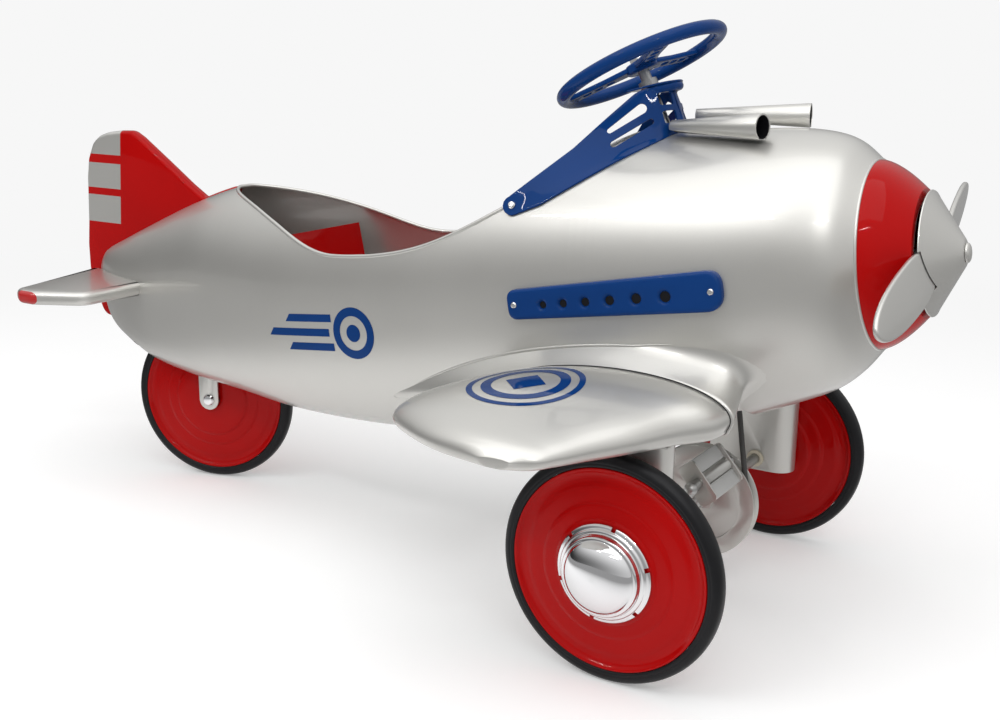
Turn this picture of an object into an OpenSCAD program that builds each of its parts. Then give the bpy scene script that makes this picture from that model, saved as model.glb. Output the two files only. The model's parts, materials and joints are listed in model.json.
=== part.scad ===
// Pedal plane: a child's ride-on pursuit plane in pressed steel.
// +X points to the nose, +Y to the pilot's left and +Z up. The origin lies on the floor under the middle.

/* [Body] */
// Length from the fin's trailing edge to the tip of the spinner
overall_length = 1210; // [1180:1:1240]
// Nose-up pitch of the body as it stands on its wheels
body_pitch = 7; // [6:0.1:8]
// Height of the propeller axis above the floor at the spinner's base
nose_height = 405; // [395:1:415]
// Length of the body from the spinner's base to the tail end
body_length = 1156; // [1150:1:1160]
// Half the body's width at its widest
body_half_width = 130; // [124:1:136]
// Highest point of the body above the propeller axis
body_top = 137; // [132:1:142]
// Lowest point of the body below the propeller axis
body_bottom = 190; // [184:1:196]
// Thickness of the body's sheet
sheet = 1.2; // [1:0.1:2]

/* [Cockpit] */
// Distance from the spinner's base to the front end of the cockpit
cockpit_front = 290; // [285:1:300]
// Distance from the spinner's base to the rear end of the cockpit
cockpit_rear = 868; // [850:1:880]
// Height of the cockpit's side above the propeller axis at its lowest
cockpit_low = 29; // [20:1:40]
// Width of the seat pan
seat_width = 170; // [150:1:180]
// Length of the seat pan
seat_length = 180; // [160:1:190]
// Height of the seat pan above the floor
seat_height = 240; // [238:1:260]
// Height of the seat's back above its pan
seat_back = 125; // [100:1:140]

/* [Wheels] */
// Outside diameter of every tyre
wheel_d = 228; // [222:1:230]
// Width of a tyre
tyre_width = 20.6; // [18:0.1:22]
// Radius where the tyre meets the painted wheel
rim_r = 102; // [98:1:104]
// Distance between the two front wheels' mid-planes
track = 440; // [436:1:450]
// Distance of the front axle ahead of the origin
front_axle_x = 353; // [348:1:358]
// Distance from the front axle to the tail wheel
wheelbase = 724; // [715:1:730]
// Diameter of the front axle
axle_d = 12; // [10:0.5:13]
// Radius of a hub cap's flange
hub_cap_r = 49; // [44:1:54]
// How far a hub cap's dome stands out of its flange
hub_cap_rise = 27; // [22:1:32]

/* [Pedals] */
// Distance of a pedal's pin from the axle
crank_throw = 63; // [58:1:64]
// Angle of the right pedal's throw above straight ahead
crank_angle = 58; // [0:1:90]
// Length of a pedal between its plates
pedal_length = 66; // [56:1:70]
// Tilt of the pads about their pin
pedal_tilt = -50; // [-90:1:90]
// Outside radius of the drive pulley
drive_pulley_r = 62; // [60:1:64]
// Radius of the belt's middle on the drive pulley
drive_belt_r = 52; // [50:0.5:53]
// Radius of the belt's middle on the propeller's pulley
small_belt_r = 16; // [14:0.5:18]
// Diameter of the round belt
belt_d = 6; // [5:0.5:7]

/* [Propeller] */
// Diameter swept by the blades
propeller_d = 372; // [356:2:390]
// Greatest width of a blade
blade_width = 48; // [42:1:52]
// Thickness of a blade
blade_thickness = 5; // [4:0.5:6]
// Pitch of the blades
blade_pitch = 11; // [6:1:12]
// Sweep of the blades towards the tail
blade_sweep = 4; // [2:0.5:5]
// Angle of the blades above level, on the left
blade_angle = 13; // [0:1:90]
// Radius of the spinner's base
spinner_r = 60; // [56:1:62]
// Length of the spinner's cone
spinner_length = 30; // [26:1:36]
// Diameter of the propeller's shaft
shaft_d = 10; // [8:0.5:12]
// Distance of the propeller's pulley behind the spinner's base
pulley_station = 200; // [198:1:204]

/* [Wings] */
// Distance between the wing tips
wing_span = 682; // [660:2:700]
// Distance of a wing's root from the middle plane
wing_root = 148; // [146:1:152]
// Height of the wings' flat underside above the floor
wing_bottom = 238; // [236:1:246]
// Wing chord at the root
wing_chord = 268; // [258:1:274]
// Distance of the wing's leading edge ahead of the origin at the root
wing_nose_x = 433; // [428:1:438]
// Height of the wing's crown at the root
wing_rise = 44; // [38:1:46]
// Height of the fairing's crown where it leaves the body
fairing_rise = 98; // [90:1:104]

/* [Tail] */
// Distance between the stabilizers' tips
tail_span = 368; // [340:2:390]
// Stabilizer chord
tail_chord = 118; // [105:1:124]
// Height of the stabilizers' underside above the floor
tail_z = 257; // [252:1:262]
// Thickness of a stabilizer
tail_thickness = 18; // [14:1:20]
// Height of the fin's top above the floor
fin_top = 472; // [455:1:490]
// Thickness of the fin
fin_thickness = 16; // [12:1:18]

/* [Steering] */
// Outside diameter of the steering wheel
steering_wheel_d = 188; // [170:1:200]
// Thickness of the steering wheel's rim
steering_rim = 15; // [12:0.5:17]
// Lean of the steering column from upright
column_rake = 27; // [25:0.5:29]
// Diameter of the steering column
column_d = 12; // [10:0.5:13]
// Angle at which the tail wheel stands, turned to the left
steer_rest = 17; // [0:1:19]
// Length of the arm on the tail fork
fork_arm = 40; // [36:1:44]
// Width of the fork's legs
fork_strap = 28; // [24:1:32]

/* [Hidden] */
$fn = 64;

// Finishes
SILVER = "silver";
RED = "firebrick";
BLUE = "midnightblue";
STEEL = "lightsteelblue";
CHROME = "gainsboro";
RUBBER = [0.1, 0.1, 0.1];

// Running clearance of a shaft in its bush, and the gap left where a fixed piece is set against another
running = 0.06;
seated = 0.2;

// Sections along the body: share of its length, then shares of its half width, top and bottom,
// and how square the lower half is
BODY = [[0.04, 0.70, 0.664, 0.479, 2], [0.058, 0.835, 0.81, 0.6, 2], [0.078, 0.895, 0.883, 0.69, 2.05],
    [0.11, 0.935, 0.928, 0.765, 2.1], [0.165, 0.97, 0.952, 0.862, 2.2], [0.26, 0.992, 0.985, 0.94, 2.4],
    [0.39, 1, 1, 0.99, 2.6], [0.52, 0.985, 0.96, 1, 2.8], [0.65, 0.895, 0.885, 0.93, 3],
    [0.75, 0.735, 0.81, 0.81, 3.4], [0.82, 0.585, 0.69, 0.735, 3.8], [0.9, 0.42, 0.5, 0.62, 4],
    [0.95, 0.3, 0.372, 0.485, 3.6], [0.985, 0.17, 0.28, 0.36, 3], [1, 0.075, 0.19, 0.2, 2.4]];
// Cockpit side line: share of the cockpit's length, share of the rise from its lowest line to either end
RIM = [[0, 1], [0.1, 0.68], [0.19, 0.43], [0.33, 0.13], [0.44, 0.01], [0.59, 0], [0.66, 0.11], [0.78, 0.49],
    [0.87, 0.74], [1, 1.02]];
// Wing planform: share of the half span outside the root, trailing and leading edge and crown as shares
WING = [[0, 1, 0, 1], [0.12, 1.05, 0.02, 0.99], [0.27, 1.085, 0.095, 0.94], [0.5, 1.115, 0.18, 0.82],
    [0.71, 1.065, 0.27, 0.66], [0.86, 0.91, 0.33, 0.48], [0.95, 0.755, 0.375, 0.31], [1, 0.57, 0.45, 0.08]];

body_rings = 34;
body_sides = 44;
first_ring = BODY[0][0];
cap_r = 12;
cap_sink = 7;
nose_x = overall_length / 2 - (spinner_length - cap_sink) * cos(body_pitch) - cap_r;
axle_z = wheel_d / 2;
tail_x = front_axle_x - wheelbase;

// Slope of a table's column at row i, from its neighbours
function slope(rows, c, i) =
    let (a = max(i - 1, 0), b = min(i + 1, len(rows) - 1))
    (rows[b][c] - rows[a][c]) / (rows[b][0] - rows[a][0]);
// Smooth curve through a table's column
function curve(rows, c, x, i = 0) =
    x > rows[i + 1][0] && i < len(rows) - 2 ? curve(rows, c, x, i + 1) :
    let (d = rows[i + 1][0] - rows[i][0], t = (x - rows[i][0]) / d)
    rows[i][c] * (1 + 2 * t) * pow(1 - t, 2) + rows[i + 1][c] * (3 - 2 * t) * t * t
    + slope(rows, c, i) * d * t * pow(1 - t, 2) - slope(rows, c, i + 1) * d * (1 - t) * t * t;

// The body's section a distance s behind the spinner's base, grown by g
function half_width(s, g = 0) = body_half_width * curve(BODY, 1, s / body_length) + g;
function crown(s, g = 0) = body_top * curve(BODY, 2, s / body_length) + g;
function belly(s, g = 0) = -body_bottom * curve(BODY, 3, s / body_length) - g;
function squareness(s) = curve(BODY, 4, s / body_length);
function waist(s) = (crown(s) + belly(s)) / 2;
function signed_power(v, p) = sign(v) * pow(abs(v), p);
function section_point(s, g, a) =
    let (n = a > 180 ? squareness(s) : 2, middle = waist(s), deep = crown(s, g) - middle)
    [-s, half_width(s, g) * signed_power(cos(a), 2 / n), middle + deep * signed_power(sin(a), 2 / n)];
function section(s, g) = [for (i = [0:body_sides - 1]) section_point(s, g, 360 * i / body_sides)];
function body_ring(i, g) = [for (p = section(station(i), g)) p - [g * i / body_rings, 0, 0]];
// Half the body's width at a height z above the propeller axis, on its upper half
function width_at(s, z) = half_width(s) * sqrt(max(0, 1 - pow((z - waist(s)) / (crown(s) - waist(s)), 2)));
function station(i) =
    body_length * (first_ring + (1 - first_ring) * (1 - cos(180 * i / body_rings)) / 2);

// From a place in the body's frame, s behind the spinner's base, to the model's frame
function from_body(s, y, z) = [nose_x - s * cos(body_pitch) - z * sin(body_pitch), y,
    nose_height - s * sin(body_pitch) + z * cos(body_pitch)];
function mix(a, b, t) = a + (b - a) * t;

module on_body() {
    translate([nose_x, 0, nose_height]) rotate([0, -body_pitch, 0]) children();
}
// Along the propeller's axis, with +Z pointing forward
module on_shaft(s = 0) {
    on_body() translate([-s, 0, 0]) rotate([0, 90, 0]) children();
}
// Along the front axle, with +Z pointing to the left
module on_axle(y = 0) {
    translate([front_axle_x, y, axle_z]) rotate([-90, 0, 0]) children();
}
module left_copy() {
    mirror([0, 1, 0]) children();
}
// A solid through rings that are each convex and have as many points
module loft(rings) {
    for (i = [0:len(rings) - 2])
        hull() polyhedron(concat(rings[i], rings[i + 1]), [[for (k = [0:2 * len(rings[i]) - 1]) k]]);
}
module body_solid(g) {
    on_body() loft([for (i = [0:body_rings]) body_ring(i, g)]);
}
// What lies outside the body, set against its skin
module trimmed(gap = seated) {
    difference() {
        children();
        body_solid(gap);
    }
}
// What lies inside the body, set against its walls
module inside_body() {
    intersection() {
        children();
        body_solid(-sheet - seated);
    }
}
module tube(r, wall, h) {
    difference() {
        cylinder(h = h, r = r);
        translate([0, 0, -1]) cylinder(h = h + 2, r = r - wall);
    }
}
module rounded_plate(x0, x1, half, r) {
    hull()
        for (x = [x0 + r, x1 - r], y = [-half + r, half - r])
            translate([x, y]) circle(r);
}
// A flat sheet in the plane of three points, drawn from a towards b
module sheet_on(a, b, c, thickness) {
    u = unit(b - a);
    n = unit(cross(u, c - a));
    v = cross(n, u);
    multmatrix([[u.x, v.x, n.x, a.x], [u.y, v.y, n.y, a.y], [u.z, v.z, n.z, a.z], [0, 0, 0, 1]])
        linear_extrude(thickness, center = true) children();
}
// A rod through points, a little thicker at its bends
knuckle = 1.15;
module rod(points, r) {
    for (i = [0:len(points) - 2]) {
        d = points[i + 1] - points[i];
        translate(points[i]) rotate([0, acos(d.z / norm(d)), atan2(d.y, d.x)]) cylinder(h = norm(d), r = r);
    }
    for (i = [1:len(points) - 2]) translate(points[i]) sphere(r * knuckle);
}

function unit(v) = v / norm(v);
// A bent wire through points, each bend cut short by the length bend
module wire(points, r, bend) {
    sides = 12;
    last = len(points) - 1;
    path = concat([points[0]], [for (i = [1:last - 1], to = [-1, 1])
        points[i] + bend * unit(points[i + to] - points[i])], [points[last]]);
    for (i = [0:len(path) - 2])
        hull() for (p = [path[i], path[i + 1]]) translate(p) sphere(r / cos(180 / sides), $fn = sides);
}

// Fuselage

opening_front = 172;
opening_rear = 500;
opening_half = 95;
well_front = 828;
well_rear = 1078;
well_half_front = 54;
well_half_rear = 47;

function rim_height(t) =
    mix(cockpit_low, t < 0.5 ? crown(cockpit_front) : crown(cockpit_rear), curve(RIM, 1, t));
module cockpit_cut() {
    steps = 24;
    on_body() rotate([90, 0, 0]) linear_extrude(4 * body_half_width, center = true)
        polygon(concat([[-cockpit_rear, 3 * body_top], [-cockpit_front, 3 * body_top]],
            [for (i = [0:steps]) let (t = i / steps)
                [-mix(cockpit_front, cockpit_rear, t), rim_height(t)]]));
}
module pedal_opening() {
    on_body() translate([0, 0, -2 * body_bottom]) linear_extrude(1.5 * body_bottom)
        rounded_plate(-opening_rear, -opening_front, opening_half, 30);
}
module wheel_well() {
    on_body() translate([0, 0, -2 * body_bottom]) linear_extrude(1.7 * body_bottom) hull() {
        translate([-well_front - 20, 0]) square([1, 2 * well_half_front], center = true);
        translate([-well_front - 20, 0]) circle(20);
        translate([-well_rear + 12, 0]) square([24, 2 * well_half_rear - 16], center = true);
    }
}
// Wing-shaped ring at a distance y from the middle plane, with its flat underside at wing_bottom;
// its trailing edge hangs lower by drop
function wing_ring(y, tail, nose, rise, lean, g = 0, drop = 0) =
    let (steps = 14, edge = 7)
    concat([for (i = [0:steps]) let (a = 180 * i / steps, u = (1 - cos(a)) / 2)
        [mix(tail - g, nose + g, u) + lean * sin(a), y,
            wing_bottom + edge - drop * (1 - u) + (rise - edge + g) * sin(a)]],
        [[nose + g - 1.4 * edge, y, wing_bottom - g], [tail - g + edge, y, wing_bottom - drop - g]]);
fairing_tail = 415;
fairing_drop = 35;
fairing_lean = 70;
fairing_set_back = 34;
wing_lean = 28;
fairing_in = 0.88 * body_half_width;
module fairing(g) {
    loft([for (y = concat([0.65 * body_half_width], [for (t = [0:0.25:1]) mix(fairing_in, wing_root + g, t)]))
        let (t = max(0, (y - fairing_in) / (wing_root - fairing_in)))
        wing_ring(y, wing_nose_x - mix(fairing_tail, wing_chord + 6, pow(t, 0.85)),
            wing_nose_x + mix(-fairing_set_back, 8, sqrt(t)), mix(fairing_rise, wing_rise + 4, pow(t, 0.8)),
            mix(fairing_lean, wing_lean + 4, t), g, fairing_drop * (1 - t))]);
}
module fuselage_shell() color(SILVER) difference() {
    union() {
        body_solid(0);
        fairing(0);
        left_copy() fairing(0);
    }
    body_solid(-sheet);
    fairing(-sheet);
    left_copy() fairing(-sheet);
    on_shaft(station(0) + 2 * sheet) cylinder(h = 40, r = half_width(station(0)) - sheet);
    cockpit_cut();
    pedal_opening();
    wheel_well();
    column_way();
}

// Nose

cowl_front = 5;
cowl_front_r = spinner_r + 1.5;
cowl_rear = station(0) - seated;
cowl_rear_r = half_width(station(0));
cowl_long = cowl_rear - cowl_front;
function cowl_line(t) = [mix(cowl_rear_r, cowl_front_r, pow(t, 1.5)), cowl_long * t];
module nose_cowl() color(RED) on_shaft(cowl_rear) rotate_extrude() {
    steps = 10;
    polygon(concat([for (i = [0:steps]) cowl_line(i / steps)],
        [[cowl_front_r - 12, cowl_long], [cowl_front_r - 12, cowl_long - sheet]],
        [for (i = [steps:-1:0]) cowl_line(i / steps) - [1.6 * sheet, i == 0 ? 0 : sheet]]));
}
bearing_r = shaft_d / 2 + 5;
bearing_length = 16;
plate = 3;
hanger_station = pulley_station - 26;
module nose_bulkhead() color(STEEL) inside_body() on_shaft(station(0) + 3 * sheet + plate) difference() {
    cylinder(h = plate, r = half_width(station(0)) + 20);
    translate([0, 0, -1]) cylinder(h = plate + 2, r = bearing_r + running);
}
module shaft_hanger() color(STEEL) inside_body() on_shaft(hanger_station) difference() {
    linear_extrude(plate, center = true) union() {
        circle(bearing_r + 9);
        translate([-body_top, -bearing_r - 4]) square([body_top, 2 * bearing_r + 8]);
    }
    cylinder(h = 2 * plate, r = bearing_r + running, center = true);
}
module shaft_bearings() color("burlywood")
    for (s = [station(0) + 3 * sheet + plate / 2, hanger_station])
        on_shaft(s) translate([0, 0, -bearing_length / 2])
            tube(bearing_r, bearing_r - shaft_d / 2 - running, bearing_length);

// Wings

function wing_rings(g) = [for (i = [0:len(WING) - 1])
    wing_ring(mix(wing_root, wing_span / 2 + g, WING[i][0]), wing_nose_x - wing_chord * WING[i][1],
        wing_nose_x - wing_chord * WING[i][2], wing_rise * WING[i][3] + 6, mix(wing_lean, 4, WING[i][0]), g)];
module wing() {
    root_open = [for (p = wing_rings(-sheet)[0]) p - [0, 5, 0]];
    difference() {
        loft(wing_rings(0));
        loft(concat([root_open], wing_rings(-sheet)));
    }
}
module left_wing() color(SILVER) translate([0, seated, 0]) wing();
module right_wing() color(SILVER) left_copy() translate([0, seated, 0]) wing();

// Tail

fin_tail_x = -overall_length / 2;
fin_foot = 248;
spine_rise = 2;
tail_nose_x = fin_tail_x + 160;
tail_clip_x = 66;
tail_clip_y = 34;
module stabilizer() trimmed() difference() {
    stabilizer_solid(0);
    translate([0, -1, 0]) stabilizer_solid(sheet);
}
module stabilizer_solid(g) hull() {
    edge = tail_thickness / 3;
    translate([0, 0, tail_z + edge]) linear_extrude(tail_thickness - 2 * edge) stabilizer_plan(g);
    translate([0, 0, tail_z + g]) linear_extrude(tail_thickness - 2 * g) stabilizer_plan(edge + g);
}
module stabilizer_plan(e) {
    tip = tail_span / 2 - e;
    nose = tail_nose_x - e;
    tail = tail_nose_x - tail_chord + e;
    polygon([[nose, fin_thickness], [nose, tip - tail_clip_y], [nose - tail_clip_x, tip],
        [tail + 30, tip], [tail + 16, tip - 8], [tail - 22, fin_thickness]]);
}
module left_stabilizer() color(SILVER) stabilizer();
module right_stabilizer() color(SILVER) left_copy() stabilizer();

// The fin's outline from its foot up the trailing edge and over the top: distance ahead of the trailing edge
// and distance below the top
FIN = [[75, 267], [30, 267], [22, 260], [4, 222], [0, 199], [0, 165], [4, 131], [8, 69], [13, 42], [25, 19],
    [40, 9], [57, 4], [80, 1], [104, 0], [120, 8], [165, 37], [209, 66]];
module tail_fin() color(RED) trimmed() rotate([90, 0, 0]) difference() {
    linear_extrude(fin_thickness, center = true) fin_plan();
    linear_extrude(fin_thickness - 2 * sheet, center = true) offset(delta = -sheet) polygon(fin_edge);
}
fin_edge = [for (f = FIN) [fin_tail_x + f.x, fin_top - f.y]];
module fin_plan() {
    deck = cockpit_rear + 6;
    foot = (nose_x - fin_tail_x - fin_foot) / cos(body_pitch);
    spine = [for (i = [0:6]) let (s = mix(foot, deck, i / 6)) from_body(s, 0, crown(s) + spine_rise)];
    polygon(concat(fin_edge, [for (p = spine) [p.x, p.z]], [[spine[6].x, spine[6].z - 12]]));
}

// Windshield and guns

wind_foot_station = 394;
wind_foot_height = 74;
wind_foot_y = width_at(wind_foot_station, wind_foot_height) + 2.5;
wind_foot = from_body(wind_foot_station, -wind_foot_y, wind_foot_height);
wind_low = from_body(250, -32, crown(250) - 2);
wind_high = from_body(259, -22, crown(259) + 46);
wind_ridge = from_body(242, 0, crown(242) - 2);
wind_sheet = 2;
module slot(x0, y0, r0, x1, y1, r1) {
    hull() {
        translate([x0, y0]) circle(r0);
        translate([x1, y1]) circle(r1);
    }
}
module wind_side() {
    long = norm(wind_low - wind_foot);
    sheet_on(wind_foot, wind_low, wind_high, wind_sheet) difference() {
        union() {
            polygon([[0, 10], [long * 0.47, 27.5], [long * 0.73, 42], [long - 2, 56], [long - 1, 29],
                [long + 5, 1], [long + 5, -30], [0, -30]]);
            circle(10);
        }
        slot(long * 0.71, 27.5, 3, long * 0.93, 35, 5.5);
        slot(long * 0.7, 12, 3.6, long * 0.95, 18.5, 3.2);
    }
}
// The strip of the frame that lies on the body's skin below the cockpit's edge
wind_strip = [[404, 62], [394, 60], [357, 72], [316, 89], [289, 108], [271, 118], [252, 126], [252, 150],
    [290, 150], [330, 120], [404, 80]];
module wind_flange() {
    intersection() {
        difference() {
            body_solid(seated + wind_sheet);
            body_solid(seated);
        }
        on_body() rotate([90, 0, 0]) linear_extrude(2 * body_half_width)
            polygon([for (q = wind_strip) [-q.x, q.y]]);
    }
}
module wind_half() {
    wide = norm(wind_ridge - wind_low);
    sheet_on(wind_low, wind_ridge, wind_high, wind_sheet) difference() {
        polygon([[-1, -14], [wide + 1, -14], [wide + 1, 0], [wide - 2, 51], [5, 47], [-1, 0]]);
        for (y = [8, 27]) translate([9, y]) square([15, 13]);
    }
}
column_top = from_body(268, 0, crown(268) + 63) + [-20, 0, 4];
// Along the steering column, a distance t below the steering wheel's middle, with +Z up
module on_column(t = 0) {
    translate(column_top) rotate([0, -column_rake, 0]) translate([0, 0, -t]) children();
}
// The way of the steering column through the sheet metal below its bush
module column_way() {
    on_column(column_end) cylinder(h = column_end, r = column_d / 2 + 1.5);
}
bush_t = 25;
brace_t = 132;
arm_t = 156;
column_end = 168;
column_bush_r = column_d / 2 + 4;
module windshield_frame() color(BLUE) difference() {
    union() {
        trimmed(seated + wind_sheet / 2) for (side = [0, 1]) mirror([0, side, 0]) wind_side();
        trimmed() {
            for (side = [0, 1]) mirror([0, side, 0]) wind_half();
            on_column(bush_t) rotate([0, column_rake - 15, 0]) linear_extrude(wind_sheet, center = true)
                polygon([[-14, -30], [10, -29], [28, -23], [37, 0], [28, 23], [10, 29], [-14, 30]]);
        }
        for (side = [0, 1]) mirror([0, side, 0]) wind_flange();
    }
    on_column(bush_t) cylinder(h = 20, r = column_bush_r + running, center = true);
    column_way();
    for (side = [-1, 1]) screw_at(side) {
        cylinder(h = 30, r = 2.2, center = true);
        translate([0, 0, screw_seat - seated]) cylinder(h = 10, r = 5);
    }
}
screw_seat = wind_sheet / 2 + 1;
// At the middle of a windshield foot, with +Z out of the body
module screw_at(side) {
    translate([wind_foot.x, side * wind_foot_y, wind_foot.z]) rotate([side * -58, 0, 0]) children();
}
module windshield_screws() color(CHROME) for (side = [-1, 1])
    screw_at(side) translate([0, 0, screw_seat]) cylinder(h = 2.2, r1 = 4.5, r2 = 3);
module column_bush() color(STEEL) on_column(bush_t) translate([0, 0, -8])
    tube(column_bush_r, column_bush_r - column_d / 2 - running, 16);
module column_brace() color(STEEL) inside_body() on_column(brace_t) difference() {
    cube([34, 4 * body_half_width, 4], center = true);
    cylinder(h = 10, r = column_d / 2 + running, center = true);
}

gun_wall = 1.5;
gun_rear_r = 7;
gun_muzzle_r = 13;
// The left gun stands a little higher and further forward than the right one
module gun(rear, muzzle) trimmed() {
    d = muzzle - rear;
    translate(rear) rotate([0, acos(d.z / norm(d)), atan2(d.y, d.x)]) difference() {
        cylinder(h = norm(d), r1 = gun_rear_r, r2 = gun_muzzle_r);
        translate([0, 0, -0.1])
            cylinder(h = norm(d) + 0.2, r1 = gun_rear_r - gun_wall, r2 = gun_muzzle_r - gun_wall);
        translate([0, -gun_muzzle_r / 2, -1]) cube([2 * gun_muzzle_r, gun_muzzle_r, norm(d) + 2]);
    }
}
module right_gun() color(SILVER)
    gun([wind_low.x + 5, -27, wind_low.z + 8], from_body(141, -51.5, crown(141, 3)));
module left_gun() color(SILVER)
    gun([wind_low.x + 6, 29, wind_low.z + 17], from_body(128, 53, crown(128, 9)));

// Exhaust panels

panel_front = 160;
panel_rear = 392;
panel_rise = 9;
panel_z_front = -13;
panel_z_rear = -25;
panel_half_front = 20;
panel_half_rear = 15.5;
// In the panel's own plane: +X forward from its rear end, +Y up and +Z out of the left side
module on_panel() {
    rear = [-panel_rear, half_width(panel_rear), panel_z_rear];
    front = [-panel_front, half_width(panel_front), panel_z_front];
    on_body() translate(rear)
        rotate([0, -atan2(front.z - rear.z, front.x - rear.x), atan2(front.y - rear.y, front.x - rear.x)])
            rotate([90, 0, 0]) mirror([0, 0, 1]) children();
}
panel_long = panel_rear - panel_front;
module exhaust_panel() trimmed() on_panel() difference() {
    translate([0, 0, -30]) linear_extrude(30 + panel_rise) hull($fn = 32) {
        translate([8, panel_half_rear - 8]) circle(8);
        translate([8, 8 - panel_half_rear]) circle(8);
        translate([panel_long - 12, panel_half_front - 10]) circle(10);
        translate([panel_long - 12, 12 - panel_half_front]) circle(12);
    }
    for (i = [0:5])
        translate([36 + 23 * i + 0.9 * i * i, 0, -31]) cylinder(h = 60, r = 3 + 0.35 * i, $fn = 24);
}
module left_exhaust_panel() color(BLUE) exhaust_panel();
module right_exhaust_panel() color(BLUE) left_copy() exhaust_panel();
module panel_screws() on_panel() for (x = [9, panel_long - 10])
    translate([x, 0, panel_rise]) cylinder(h = 1.8, r1 = 3.6, r2 = 2.4);
module exhaust_screws() color(CHROME) {
    panel_screws();
    left_copy() panel_screws();
}

// Landing gear

leg_width = 40;
leg_inner = track / 2 - tyre_width / 2 - 6.7 - leg_width;
leg_front = 42;
leg_rear = 58;
leg_wall = 1.5;
leg_low = 14;
flange = 2;
bush_r = axle_d / 2 + 4;
module leg_plan(g) {
    r = leg_width / 2 - g;
    hull() {
        translate([front_axle_x + leg_front - leg_width / 2, leg_inner + leg_width / 2]) circle(r);
        translate([front_axle_x - leg_rear, leg_inner + g]) square([1, 2 * r]);
    }
}
module leg() difference() {
    union() {
        translate([0, 0, axle_z - leg_low]) linear_extrude(wing_bottom - seated - axle_z + leg_low) leg_plan(0);
        translate([front_axle_x - leg_rear, leg_inner - 7, wing_bottom - seated - flange])
            cube([leg_rear + leg_front + 4, leg_width + 9, flange]);
    }
    translate([0, 0, axle_z - leg_low - 1])
        linear_extrude(wing_bottom - seated - flange - axle_z + leg_low + 1) leg_plan(leg_wall);
    translate([front_axle_x - leg_rear - 1, leg_inner + leg_wall, axle_z - leg_low - 1])
        cube([10, leg_width - 2 * leg_wall, wing_bottom - seated - flange - axle_z + leg_low + 1]);
    on_axle(leg_inner - 5) cylinder(h = leg_width + 10, r = bush_r + running);
}
module left_leg() color(SILVER) leg();
module right_leg() color(SILVER) left_copy() leg();
module one_side_bolts() for (x = [front_axle_x - leg_rear + 8, front_axle_x + leg_front - 2])
    translate([x, leg_inner - 3.5, wing_bottom - 2 * seated - flange - 2]) cylinder(h = 2, r = 3);
module leg_bolts() color(CHROME) {
    one_side_bolts();
    left_copy() one_side_bolts();
}
module axle_bush() on_axle(leg_inner - 2)
    tube(bush_r, bush_r - axle_d / 2 - running, leg_width + 4);
module axle_bushes() color("wheat") {
    axle_bush();
    left_copy() axle_bush();
}

// Wheels

hub_half = 14;
web = 1.5;
nut_h = 7;
// Half profile of a pressed wheel: radius and distance from its mid-plane
function wheel_line() = [[axle_d / 2 + 7, hub_half], [hub_cap_r - 3, hub_half], [hub_cap_r + 3, hub_half - 1],
    [hub_cap_r + 6, hub_half - 2.5], [hub_cap_r + 18, hub_half - 4], [hub_cap_r + 20, hub_half - 5],
    [rim_r - 18, hub_half - 6.2], [rim_r - 15, hub_half - 7.5], [rim_r - 8, hub_half - 8],
    [rim_r - 5, tyre_width / 2 - 1.5], [rim_r - 1.5, tyre_width / 2 - 0.6], [rim_r - 1, tyre_width / 2 - 2]];
function mirrored(line) = [for (p = line) [p.x, -p.y]];
function reversed(line) = [for (i = [len(line) - 1:-1:0]) line[i]];
module wheel(bore) rotate_extrude($fn = 96) {
    face = wheel_line();
    back = [for (i = [0:len(face) - 1]) face[i] - [i > 8 ? web : 0, web]];
    sleeve = bore + 4;
    polygon(concat([[bore, hub_half]], face, reversed(mirrored(face)), mirrored(back), reversed(back),
        [[sleeve, hub_half - web], [sleeve, -hub_half], [bore, -hub_half]]));
}
module tyre() rotate_extrude($fn = 96) difference() {
    hull() for (y = [-1, 1]) {
        translate([axle_z - 7, y * (tyre_width / 2 - 7)]) circle(7);
        translate([rim_r - 1, y * (tyre_width / 2 - 3)]) circle(3);
    }
    translate([0, -tyre_width]) square([rim_r - 1 + seated, 2 * tyre_width]);
}
module hub_cap() rotate_extrude() {
    steps = 8;
    dome = 0.84 * hub_cap_r;
    top = [for (i = [0:steps]) let (a = 90 * i / steps) [dome * cos(a), 5 + (hub_cap_rise - 5) * sin(a)]];
    polygon(concat([[hub_cap_r, 0], [hub_cap_r, 1.5], [hub_cap_r - 5, 3.5], [dome + 4, 3.5]], top,
        [for (i = [steps:-1:0]) [max(0, top[i].x - 1.5), top[i].y - 1.5]],
        [[dome + 2.5, 2], [hub_cap_r - 5.5, 2], [hub_cap_r - 2, 0]]));
}
hub_bore = axle_d / 2 + running;
module front_wheel_at(side) on_axle(side * track / 2) children();
module left_wheel() color(RED) front_wheel_at(1) wheel(hub_bore);
module left_tyre() color(RUBBER) front_wheel_at(1) tyre();
module left_hub_cap() color(CHROME) front_wheel_at(1) translate([0, 0, hub_half + seated]) hub_cap();
module right_wheel() color(RED) front_wheel_at(-1) wheel(hub_bore);
module right_tyre() color(RUBBER) front_wheel_at(-1) tyre();
module right_hub_cap() color(CHROME)
    front_wheel_at(-1) mirror([0, 0, 1]) translate([0, 0, hub_half + seated]) hub_cap();

// Crank, pulleys and belt

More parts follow.
